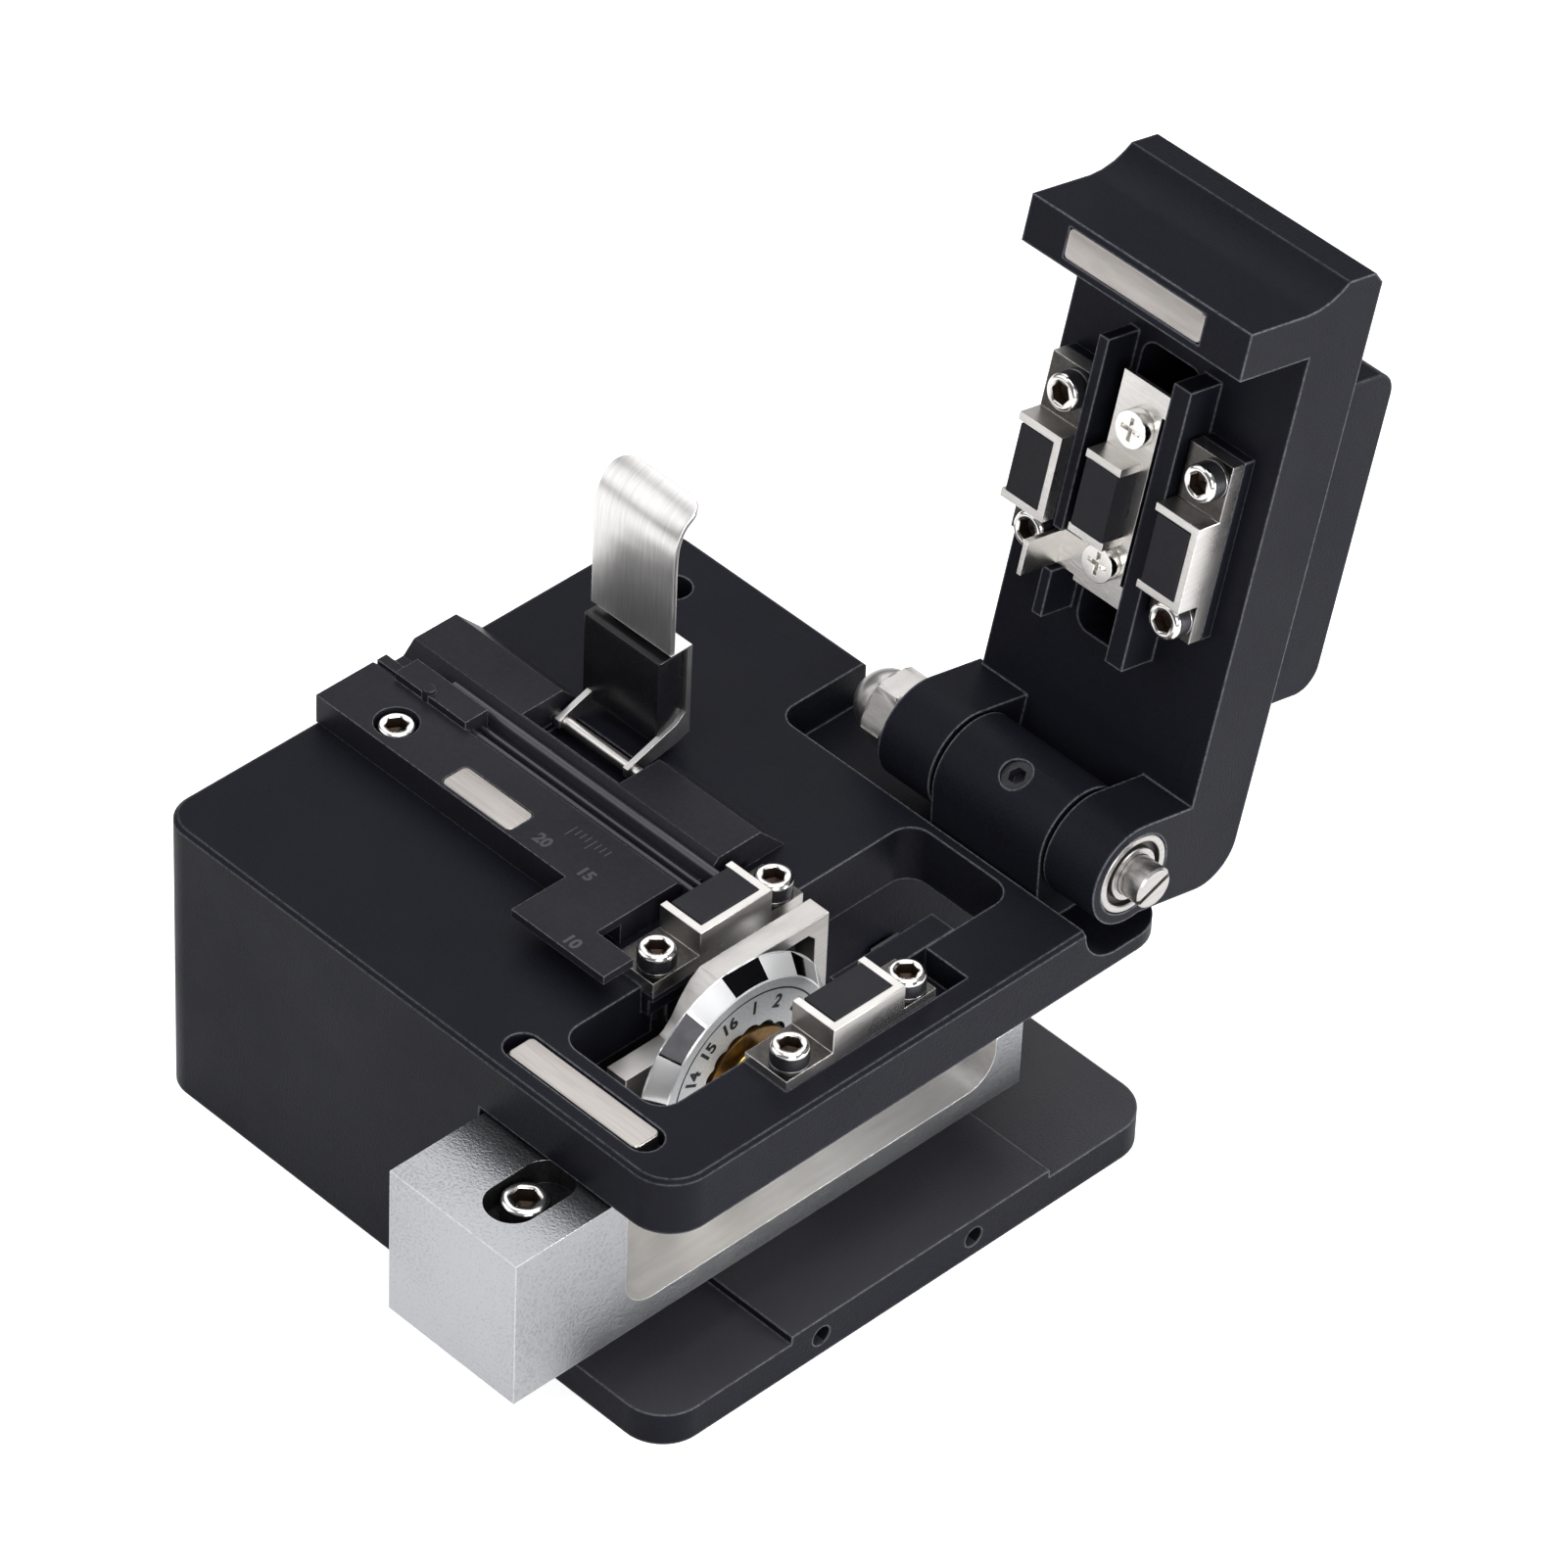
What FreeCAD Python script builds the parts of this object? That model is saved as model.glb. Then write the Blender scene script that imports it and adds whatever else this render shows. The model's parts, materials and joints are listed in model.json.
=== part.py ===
import FreeCAD, Part
import math
import os
from types import SimpleNamespace

import Sketcher
from FreeCAD import Placement, Rotation, Vector

# A bench cleaver for optical fibre, in millimetres and degrees.
# X runs along the fibre, Y from the user's side to the hinge, Z up.
# The origin is the centre of the base's underside. The lid is drawn closed
# in its own frame at the hinge and stands open; the slider is pulled forward.

SIZES = {
    # machined body
    "body_width": 65.0,
    "body_depth": 60.4,
    "body_height": 30.9,
    "deck_thickness": 6.0,
    "bay_clear": 0.4,
    "base_thickness": 3.5,
    "land_rise": 0.85,
    "land_length": 31.4,
    "land_shift": 1.0,
    "corner_right": 4.2,
    "corner_left": 3.5,
    "edge_break": 0.4,
    "side_hole_radius": 1.0,
    "side_hole_depth": 6.0,
    "side_hole_spacing": 18.5,
    "side_hole_height": 2.2,
    "side_hole_shift": -1.85,
    "top_hole_radius": 1.7,
    "top_hole_depth": 3.0,
    # slot in the deck
    "slot_width": 12.6,
    "slot_inset": 7.9,
    "slot_front_margin": 6.5,
    "slot_rear_margin": 12.0,
    "slot_radius": 2.2,
    # hinge
    "hinge_inset": 5.36,
    "hinge_rise": 3.36,
    "hinge_cut_margin": 11.0,
    "hinge_ledge_drop": 4.4,
    "hinge_cut_radius": 4.2,
    "notch_length": 12.7,
    "notch_radius": 2.0,
    "knuckle_radius": 5.0,
    "knuckle_length": 13.2,
    "knuckle_inset": 6.6,
    "knuckle_gap": 0.5,
    "foot_reach": 4.4,
    "left_knuckle_length": 6.3,
    "shaft_radius": 2.0,
    "shaft_overhang": 2.5,
    "shaft_slot_width": 0.5,
    "shaft_slot_depth": 1.0,
    "bearing_radius": 4.0,
    "bearing_length": 3.0,
    "running_fit": 0.05,
    "nut_flats": 7.0,
    "nut_height": 3.0,
    "nut_dome_radius": 3.2,
    "washer_radius": 4.0,
    "washer_thickness": 0.5,
    "set_screw_radius": 1.5,
    "set_screw_length": 2.6,
    "set_screw_angle": 25.0,
    "set_screw_inset": 7.1,
    # deck and lid magnets
    "magnet_length": 16.0,
    "magnet_width": 3.0,
    "magnet_thickness": 1.9,
    "magnet_margin": 3.4,
    "magnet_inset": 14.1,
    "magnet_pocket_length": 18.5,
    "lid_magnet_shift": 0.9,
    # fibre clamps, below and above
    "fibre_rise": 3.7,
    "fibre_shift": -4.25,
    "clamp_width": 5.1,
    "clamp_front": 9.75,
    "clamp_rear": 8.05,
    "clamp_wall": 0.8,
    "clamp_sheet": 1.5,
    "clamp_sink": 0.5,
    "clamp_depth": 3.0,
    "clamp_gap": 0.06,
    "prong_span": 8.5,
    "prong_drop": 0.15,
    "pad_width": 3.8,
    "pad_slack": 0.05,
    "left_clamp_shift": 16.4,
    "base_step": 0.5,
    "base_step_drop": 0.7,
    "clamp_plate_reach": 2.8,
    "clamp_plate_front": 2.95,
    "clamp_plate_rear": 15.3,
    "pocket_behind": 3.7,
    "screw_front": 7.65,
    "screw_rear": 6.15,
    "screw_inset": 1.8,
    "screw_head_radius": 1.75,
    "screw_head_height": 1.8,
    "screw_shank_radius": 1.0,
    "screw_length": 6.0,
    "screw_socket": 1.0,
    "screw_washer": 0.2,
    # guide for the stripped fibre
    "guide_gap": 1.35,
    "guide_inset": 0.15,
    "guide_front": -11.8,
    "guide_height": 3.1,
    "groove_front": -5.1,
    "groove_width": 4.9,
    "groove_floor": 1.8,
    "groove_rise": 1.3,
    "guide_rear": 7.8,
    "guide_slope": 3.0,
    "recess_left": 14.1,
    "recess_length": 12.4,
    "guide_tab_thickness": 0.9,
    "guide_tab_reach": 6.3,
    "guide_tab_neck": 7.0,
    "end_ridge_length": 8.9,
    "end_ridge_width": 1.1,
    "end_block_length": 9.2,
    "end_block_rise": 0.8,
    "guide_magnet_length": 8.9,
    "guide_magnet_width": 3.1,
    "guide_magnet_inset": 15.9,
    "guide_magnet_margin": 0.4,
    "guide_magnet_depth": 1.0,
    "guide_screw_inset": 7.6,
    "guide_screw_margin": 2.8,
    "guide_pin_radius": 0.6,
    "guide_pin_inset": 7.1,
    "guide_pin_shift": 0.4,
    # clamp lever
    "lever_width": 9.4,
    "lever_clear": 0.6,
    "lever_sheet": 0.6,
    "lever_pin_radius": 0.6,
    "lever_pin_shift": 4.1,
    "lever_pin_rise": 0.65,
    "lever_relief": 0.75,
    "lever_eye": 1.6,
    "lever_pad_face": 2.76,
    "lever_pad_depth": 3.2,
    "lever_pad_low": 1.95,
    "lever_pad_high": 10.5,
    "lever_tab_face": 4.0,
    "lever_tab_high": 21.0,
    "lever_tip_reach": 7.7,
    "lever_tip_high": 26.1,
    # slider on its rail
    "slider_width": 15.8,
    "slider_inset": 7.1,
    "slider_overhang": 10.6,
    "slider_block": 12.9,
    "slider_head_clear": 0.5,
    "slider_floor": 2.5,
    "slider_wall": 3.3,
    "slider_wall_height": 7.0,
    "slider_length": 60.5,
    "slider_blend": 3.2,
    "recess_width": 5.1,
    "slider_recess_depth": 2.6,
    "slider_recess_front": 2.6,
    "slider_recess_run": 9.0,
    "slider_screw_radius": 2.2,
    "slider_screw_setback": 6.6,
    "slider_screw_length": 5.0,
    "rail_width": 3.0,
    "rail_height": 2.6,
    "rail_length": 30.0,
    "rail_groove": 0.4,
    "carriage_width": 8.0,
    "carriage_length": 12.0,
    "carriage_lift": 1.0,
    "carriage_height": 3.95,
    "rail_fit": 0.05,
    "rail_screw_radius": 0.75,
    "carriage_head_depth": 1.1,
    # blade and bracket
    "blade_floor_clear": 1.55,
    "blade_thickness": 2.0,
    "blade_edge": 0.2,
    "blade_sides": 16,
    "blade_turn": 8.65,
    "dial_bevel": 1.35,
    "dial_recess_radius": 5.6,
    "dial_recess": 0.5,
    "blade_below_fibre": 0.05,
    "blade_behind_fibre": -4.95,
    "blade_face_inset": 4.3,
    "hub_radius": 4.9,
    "hub_flange": 0.7,
    "hub_boss_radius": 3.0,
    "hub_length": 2.0,
    "hub_sleeve_radius": 2.5,
    "axle_radius": 1.5,
    "axle_head_radius": 2.0,
    "axle_head": 0.5,
    "blade_spacing": 1.2,
    "bracket_thickness": 2.4,
    "bracket_front": 11.4,
    "bracket_rear": 12.4,
    "bracket_bar_drop": 7.2,
    "bracket_top_drop": 2.05,
    "bracket_step": 0.7,
    "bracket_step_run": 4.7,
    "arch_wall": 1.4,
    "arch_side": 1.6,
    "arch_floor": 3.15,
    "arch_slope": 2.4,
    "bracket_screw_radius": 1.1,
    # lid
    "lid_open": 102.9,
    "lid_width": 25.8,
    "lid_inner": 5.95,
    "lid_outer": 13.46,
    "lid_rear": 4.6,
    "lid_rear_radius": 4.1,
    "lip_thickness": 4.6,
    "lip_gap": 0.56,
    "scoop_reach": 2.1,
    "scoop_start": 4.4,
    "scoop_low": 9.0,
    "scoop_high": 12.3,
    "cover_rise": 5.8,
    "cover_behind": 15.9,
    "cover_length": 32.5,
    "cover_radius": 2.5,
    "cover_inset": 0.2,
    "rail_rise": 3.9,
    "left_bar_width": 1.1,
    "rail_bar_width": 2.0,
    "rail_bar_behind": 13.6,
    "rail_bar_length": 28.0,
    "channel_width": 7.0,
    "channel_inset": 9.3,
    "channel_behind": 14.9,
    "channel_length": 29.0,
    # anvil in the lid
    "anvil_gap": 0.8,
    "anvil_screw_inset": 3.0,
    "anvil_width": 5.1,
    "anvil_sheet": 0.5,
    "anvil_level": 3.05,
    "anvil_front_margin": 4.2,
    "anvil_rear_margin": 3.6,
    "anvil_tab_length": 2.2,
    "anvil_tab_width": 5.8,
    "anvil_pad_width": 3.7,
    "anvil_pad_length": 6.6,
    "anvil_lift": 0.05,
    "anvil_wall_lift": 0.25,
    "anvil_screw_front": 3.1,
    "anvil_screw_rear": 2.2,
    "anvil_screw_head": 1.2,
    "anvil_post_radius": 1.0,
    "anvil_post_length": 9.0,
    "post_pitch": 8.0,
    "post_guide_length": 14.0,
    "post_guide_height": 4.0,
    "finger_length": 3.5,
    "finger_drop": 1.6,
    "finger_behind": 8.6,
    "finger_gap": 0.15,
}


class Size:
    # a sheet cell or a sum of cells: its number, and the expression that binds to it
    def __init__(self, value, text):
        self.value = value
        self.text = text

    def join(self, other, sign, value, swap=False):
        first = self.text
        second = other.text if isinstance(other, Size) else "%g" % other
        if swap:
            first, second = second, first
        return Size(value, "(%s %s %s)" % (first, sign, second))

    def __add__(self, other):
        return self.join(other, "+", self.value + number(other))

    def __radd__(self, other):
        return self.join(other, "+", number(other) + self.value, True)

    def __sub__(self, other):
        return self.join(other, "-", self.value - number(other))

    def __rsub__(self, other):
        return self.join(other, "-", number(other) - self.value, True)

    def __mul__(self, other):
        return self.join(other, "*", self.value * number(other))

    def __rmul__(self, other):
        return self.join(other, "*", number(other) * self.value, True)

    def __truediv__(self, other):
        return self.join(other, "/", self.value / number(other))

    def __neg__(self):
        return Size(-self.value, "(0 - %s)" % self.text)


def number(value):
    return value.value if isinstance(value, Size) else float(value)


def sine(angle):
    return Size(math.sin(math.radians(angle.value)), "sin(%s * 1deg)" % angle.text)


def cosine(angle):
    return Size(math.cos(math.radians(angle.value)), "cos(%s * 1deg)" % angle.text)


doc = FreeCAD.newDocument("FibreCleaver")
sheet = doc.addObject("Spreadsheet::Sheet", "dims")
for row, (name, value) in enumerate(SIZES.items(), start=1):
    sheet.set("A%d" % row, name)
    sheet.set("B%d" % row, str(value))
    sheet.setAlias("B%d" % row, name)
doc.recompute()
dim = SimpleNamespace(**{name: Size(value, "dims." + name) for name, value in SIZES.items()})
PIECES = []
AXES = {"x": Rotation(Vector(0, 1, 0), 90), "y": Rotation(Vector(1, 0, 0), -90), "z": Rotation()}
NORMALS = {"x": Vector(1, 0, 0), "y": Vector(0, 1, 0), "z": Vector(0, 0, 1)}


def bind(thing, path, size):
    thing.setExpression(path, size.text if isinstance(size, Size) else "%g" % size)


def put(thing, corner, turn=None):
    thing.Placement = Placement(Vector(*[number(value) for value in corner]), turn or Rotation())
    for axis, value in zip("xyz", corner):
        bind(thing, "Placement.Base." + axis, value)


def piece(label):
    body = doc.addObject("PartDesign::Body", label)
    body.Label = label
    PIECES.append(body)
    return body


def box(body, name, xs, ys, zs, cut=False):
    kind = "PartDesign::SubtractiveBox" if cut else "PartDesign::AdditiveBox"
    feature = body.newObject(kind, name)
    for side, (low, high) in zip(("Length", "Width", "Height"), (xs, ys, zs)):
        bind(feature, side, high - low)
    put(feature, (xs[0], ys[0], zs[0]))
    doc.recompute()
    return feature


def rod(body, name, axis, start, length, radius, cut=False):
    kind = "PartDesign::SubtractiveCylinder" if cut else "PartDesign::AdditiveCylinder"
    feature = body.newObject(kind, name)
    bind(feature, "Radius", radius)
    bind(feature, "Height", length)
    put(feature, start, AXES[axis])
    doc.recompute()
    return feature


def outline(body, name, plane, points, offset):
    # closed outline of straight lines on an origin plane, each corner tied to the sheet
    origin = [item for item in body.Origin.OriginFeatures if item.Role == plane + "_Plane"][0]
    sketch = body.newObject("Sketcher::SketchObject", name)
    sketch.AttachmentSupport = [(origin, "")]
    sketch.MapMode = "FlatFace"
    bind(sketch, "AttachmentOffset.Base.z", offset)
    spots = [Vector(number(across), number(along), 0) for across, along in points]
    count = len(spots)
    for index in range(count):
        sketch.addGeometry(Part.LineSegment(spots[index], spots[(index + 1) % count]), False)
    for index in range(count):
        sketch.addConstraint(Sketcher.Constraint("Coincident", index, 2, (index + 1) % count, 1))
    for index, (across, along) in enumerate(points):
        for kind, size in (("DistanceX", across), ("DistanceY", along)):
            tie = sketch.addConstraint(Sketcher.Constraint(kind, -1, 1, index, 1, number(size)))
            sketch.setExpression("Constraints[%d]" % tie, size.text if isinstance(size, Size) else "%g" % size)
    doc.recompute()
    return sketch


def extrude(body, name, plane, points, start, length, cut=False):
    # start and length run along +X, -Y or +Z for the YZ, XZ and XY planes
    sketch = outline(body, name + "_outline", plane, points, -start if plane == "XZ" else start)
    kind = "PartDesign::Pocket" if cut else "PartDesign::Pad"
    feature = body.newObject(kind, name)
    feature.Profile = sketch
    feature.Reversed = cut
    bind(feature, "Length", length)
    doc.recompute()
    return feature


def edges_along(shape, axis, spots, slack=0.02):
    # straight edges parallel to an axis that pass through one of the given spots
    normal = NORMALS[axis]
    names = []
    for index, edge in enumerate(shape.Edges, start=1):
        if not isinstance(edge.Curve, Part.Line) or edge.Curve.Direction.cross(normal).Length > 1e-6:
            continue
        middle = edge.CenterOfMass
        across = [value for key, value in zip("xyz", middle) if key != axis]
        for spot in spots:
            if all(abs(value - number(wanted)) < slack for value, wanted in zip(across, spot)):
                names.append("Edge%d" % index)
    return names


def ring_edges(shape, height):
    # edges that lie flat at one height
    names = []
    for index, edge in enumerate(shape.Edges, start=1):
        bounds = edge.BoundBox
        if abs(bounds.ZMin - number(height)) < 0.01 and abs(bounds.ZMax - number(height)) < 0.01:
            names.append("Edge%d" % index)
    return names


def circle_edges(shape, radius):
    return ["Edge%d" % index for index, edge in enumerate(shape.Edges, start=1)
            if isinstance(edge.Curve, Part.Circle) and abs(edge.Curve.Radius - radius) < 0.01]


def dress(body, name, kind, edges, radius):
    # fillet or chamfer on named edges of the body as it stands
    base = body.Tip
    feature = body.newObject("PartDesign::" + kind, name)
    feature.Base = (base, edges)
    bind(feature, "Radius" if kind == "Fillet" else "Size", radius)
    doc.recompute()
    return feature


def round_corners(body, name, axis, spots, radius):
    return dress(body, name, "Fillet", edges_along(body.Tip.Shape, axis, spots), radius)


def solid(kind, name, corner, turn=None, **sizes):
    thing = doc.addObject("Part::" + kind, name)
    for side, value in sizes.items():
        bind(thing, side, value)
    put(thing, corner, turn)
    return thing


def combine(kind, name, base, tool):
    thing = doc.addObject("Part::" + kind, name)
    thing.Base = base
    thing.Tool = tool
    return thing


def group(label, things):
    thing = doc.addObject("Part::Compound", label)
    thing.Label = label
    thing.Links = things
    PIECES.append(thing)
    return thing


def cap_screw(name, spot, radius, head, shank, length, socket, side=1):
    # socket-head screw standing on its seat; side -1 hangs it head down
    x, y, z = spot
    top = z if side > 0 else z - head
    low = z - length if side > 0 else z
    cap = solid("Cylinder", name + "_head", (x, y, top), Radius=radius, Height=head)
    stem = solid("Cylinder", name + "_shank", (x, y, low), Radius=shank, Height=length)
    depth = head * 0.6
    pit = z + head - depth if side > 0 else z - head
    key = solid("Prism", name + "_socket", (x, y, pit), Circumradius=socket, Height=depth)
    whole = combine("Fuse", name + "_whole", cap, stem)
    return combine("Cut", name, whole, key)


def on_lid(thing):
    # the lid's own frame sits on the hinge axis, tipped back from closed
    put(thing, (0, hinge_y, hinge_z), Rotation(Vector(-1, 0, 0), dim.lid_open.value))
    bind(thing, "Placement.Rotation.Angle", dim.lid_open)
    return thing


left = -dim.body_width / 2
right = dim.body_width / 2
front = -dim.body_depth / 2
rear = dim.body_depth / 2
top = dim.body_height
deck_under = dim.body_height - dim.deck_thickness
land_top = dim.base_thickness + dim.land_rise
land_front = dim.land_shift - dim.land_length / 2
land_rear = dim.land_shift + dim.land_length / 2
slot_right = right - dim.slot_inset
slot_left = slot_right - dim.slot_width
slot_front = front + dim.slot_front_margin
slot_rear = rear - dim.slot_rear_margin
hinge_y = rear - dim.hinge_inset
hinge_z = top + dim.hinge_rise
cut_front = rear - dim.hinge_cut_margin
ledge = top - dim.hinge_ledge_drop
knuckle_right = right - dim.knuckle_inset
knuckle_left = knuckle_right - dim.knuckle_length
lid_right = right - 0.1
lid_left = lid_right - dim.lid_width
left_knuckle_right = knuckle_left - dim.knuckle_gap
left_knuckle_left = left_knuckle_right - dim.left_knuckle_length
notch_left = left_knuckle_left - dim.notch_length + 0.8
fibre_z = top + dim.fibre_rise
fibre_y = dim.fibre_shift
clamp_low = fibre_y - dim.clamp_front
clamp_high = fibre_y + dim.clamp_rear
prong_low = fibre_y - dim.prong_span / 2
prong_high = fibre_y + dim.prong_span / 2
right_clamp = slot_right
left_clamp = slot_right - dim.left_clamp_shift
seat = top - dim.clamp_sink
fibre_local = fibre_y - hinge_y
pocket_floor = top - dim.clamp_depth
pin_y = dim.lever_pin_shift
pin_z = top + dim.lever_pin_rise
clamp_plate_right = slot_right + dim.clamp_width + dim.running_fit
pocket_rear = clamp_high + dim.pocket_behind
magnet_middle = right - dim.magnet_inset
magnet_y = front + dim.magnet_margin
magnet_slot = dim.magnet_width + 0.4
lid_magnet_y = front - hinge_y + 0.1 + dim.lip_thickness / 2
left_screw_x = left_clamp + dim.clamp_width - dim.screw_inset
right_screw_x = right_clamp + dim.clamp_width - dim.screw_inset
screw_y_low = fibre_y - dim.screw_front
screw_y_high = fibre_y + dim.screw_rear
upper_seat = fibre_z - hinge_z + dim.clamp_gap + dim.fibre_rise + dim.clamp_sink
set_screw_x = knuckle_left + dim.set_screw_inset
guide_left = left + dim.guide_inset
guide_right = left_clamp - dim.guide_gap
guide_length = guide_right - guide_left
guide_magnet_left = left + dim.guide_magnet_inset
guide_magnet_front = dim.guide_front + dim.guide_magnet_margin
guide_screw_y = dim.guide_front + dim.guide_screw_margin
guide_pin_x = left + dim.guide_pin_inset
guide_pin_y = dim.groove_front + dim.guide_pin_shift
recess_left = left + dim.recess_left
lever_left = recess_left + dim.lever_clear + 0.1
slider_left = right - dim.slider_inset - dim.slider_width
slider_front = front - dim.slider_overhang
block_right = slider_left - dim.bay_clear
rail_x = slider_left + dim.slider_width / 2
land_middle = (land_front + land_rear) / 2
slider_bottom = land_top + dim.carriage_height
carriage_middle = land_front + 0.8 + dim.carriage_length / 2
slider_screw_x = slider_left + dim.slider_width / 2 + 1.9
slider_screw_y = slider_front + dim.slider_screw_setback
blade_y = fibre_y + dim.blade_behind_fibre
blade_room = fibre_z - dim.blade_below_fibre - slider_bottom - dim.slider_floor
blade_radius = (blade_room - dim.blade_floor_clear) / 2
blade_z = fibre_z - dim.blade_below_fibre - blade_radius
blade_face = slot_right - dim.blade_face_inset
bracket_left = blade_face - dim.blade_thickness - dim.blade_spacing - dim.bracket_thickness
left_bar = left_clamp + dim.clamp_width + 0.1
nut_right = left_knuckle_left - 0.15 - dim.washer_thickness
nut_left = nut_right - dim.nut_height - dim.nut_dome_radius
channel_left = slot_right - dim.channel_inset
channel_low = fibre_local + dim.channel_behind - dim.channel_length
anvil_left = channel_left + dim.anvil_gap
fibre_level = dim.fibre_rise - dim.hinge_rise
anvil_screw_x = anvil_left + dim.anvil_screw_inset


def body_frame():
    body = piece("body_frame")
    extrude(body, "profile", "XZ", [
        (left, 0), (right, 0), (right, land_top), (block_right, land_top),
        (block_right, deck_under), (right, deck_under), (right, top), (left, top),
    ], rear, dim.body_depth)
    round_corners(body, "right_corners", "z", [(right, front), (right, rear)], dim.corner_right)
    round_corners(body, "left_corners", "z", [(left, front), (left, rear)], dim.corner_left)
    rims = ring_edges(body.Tip.Shape, top)
    dress(body, "top_edges", "Chamfer", rims, dim.edge_break)
    box(body, "front_floor", (block_right, right + 1), (front - 1, land_front),
        (dim.base_thickness, land_top), cut=True)
    box(body, "rear_floor", (block_right, right + 1), (land_rear, rear + 1),
        (dim.base_thickness, land_top), cut=True)
    box(body, "slot", (slot_left, slot_right), (slot_front, slot_rear), (deck_under - 1, top + 1), cut=True)
    round_corners(body, "slot_corners", "z", [
        (slot_left, slot_front), (slot_right, slot_front), (slot_left, slot_rear), (slot_right, slot_rear),
    ], dim.slot_radius)
    box(body, "right_pocket", (slot_right - 1, clamp_plate_right), (clamp_low, pocket_rear),
        (pocket_floor, top + 1), cut=True)
    box(body, "left_pocket", (left_clamp - dim.running_fit, slot_left + 1),
        (clamp_low - dim.running_fit, clamp_high + dim.running_fit), (pocket_floor, top + 1), cut=True)
    extrude(body, "hinge_cut", "YZ", [
        (cut_front, ledge), (rear + 1, ledge), (rear + 1, top + 1), (cut_front, top + 1),
    ], left_knuckle_left, right + 1 - left_knuckle_left, cut=True)
    round_corners(body, "hinge_cut_root", "x", [(cut_front, ledge)], dim.hinge_cut_radius)
    box(body, "notch", (notch_left, left_knuckle_left + 1), (cut_front, rear + 1), (ledge, top + 1), cut=True)
    round_corners(body, "notch_corner", "z", [(notch_left, cut_front)], dim.notch_radius)
    box(body, "knuckle_foot", (knuckle_left, knuckle_right),
        (hinge_y - dim.knuckle_radius, hinge_y + dim.foot_reach), (deck_under, hinge_z))
    rod(body, "knuckle", "x", (knuckle_left, hinge_y, hinge_z), dim.knuckle_length, dim.knuckle_radius)
    rod(body, "knuckle_bore", "x", (knuckle_left - 1, hinge_y, hinge_z), dim.knuckle_length + 2,
        dim.shaft_radius, cut=True)
    tilt = Rotation(Vector(1, 0, 0), dim.set_screw_angle.value)
    screw_hole = rod(body, "set_screw_hole", "z", (set_screw_x, hinge_y, hinge_z),
                     dim.knuckle_radius + 1, dim.set_screw_radius, cut=True)
    screw_hole.Placement = Placement(screw_hole.Placement.Base, tilt)
    bind(screw_hole, "Placement.Rotation.Angle", dim.set_screw_angle)
    box(body, "magnet_pocket", (magnet_middle - dim.magnet_pocket_length / 2,
                                magnet_middle + dim.magnet_pocket_length / 2),
        (magnet_y - magnet_slot / 2, magnet_y + magnet_slot / 2), (top - dim.magnet_thickness, top + 1), cut=True)
    round_corners(body, "magnet_pocket_ends", "z", [
        (magnet_middle + end * dim.magnet_pocket_length / 2, magnet_y + flank * magnet_slot / 2)
        for end in (-1, 1) for flank in (-1, 1)
    ], magnet_slot / 2 - 0.02)
    for side in (-1, 1):
        rod(body, "side_hole", "x", (right - dim.side_hole_depth,
                                     dim.side_hole_shift + side * dim.side_hole_spacing / 2, dim.side_hole_height),
            dim.side_hole_depth + 1, dim.side_hole_radius, cut=True)
    rod(body, "top_hole", "z", (left + dim.guide_screw_inset, hinge_y - 0.4, top - dim.top_hole_depth),
        dim.top_hole_depth + 1, dim.top_hole_radius, cut=True)
    box(body, "lever_relief", (recess_left, recess_left + dim.recess_length),
        (pin_y - dim.lever_eye, pin_y + dim.lever_eye), (top - dim.lever_relief, top + 1), cut=True)
    for clamp_x in (left_screw_x, right_screw_x):
        for screw_y in (screw_y_low, screw_y_high):
            rod(body, "clamp_screw_hole", "z", (clamp_x, screw_y, deck_under - 1),
                dim.deck_thickness + 2, dim.screw_shank_radius, cut=True)
    rod(body, "guide_screw_hole", "z", (left + dim.guide_screw_inset, guide_screw_y, ledge), dim.hinge_ledge_drop + 1,
        dim.screw_shank_radius, cut=True)
    for end in (-1, 1):
        rod(body, "rail_screw_hole", "z", (rail_x, land_middle + end * dim.rail_length / 3, 1),
            land_top, dim.rail_screw_radius, cut=True)


def deck_magnet():
    body = piece("deck_magnet")
    box(body, "bar", (magnet_middle - dim.magnet_length / 2, magnet_middle + dim.magnet_length / 2),
        (magnet_y - dim.magnet_width / 2, magnet_y + dim.magnet_width / 2), (top - dim.magnet_thickness, top))


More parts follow.
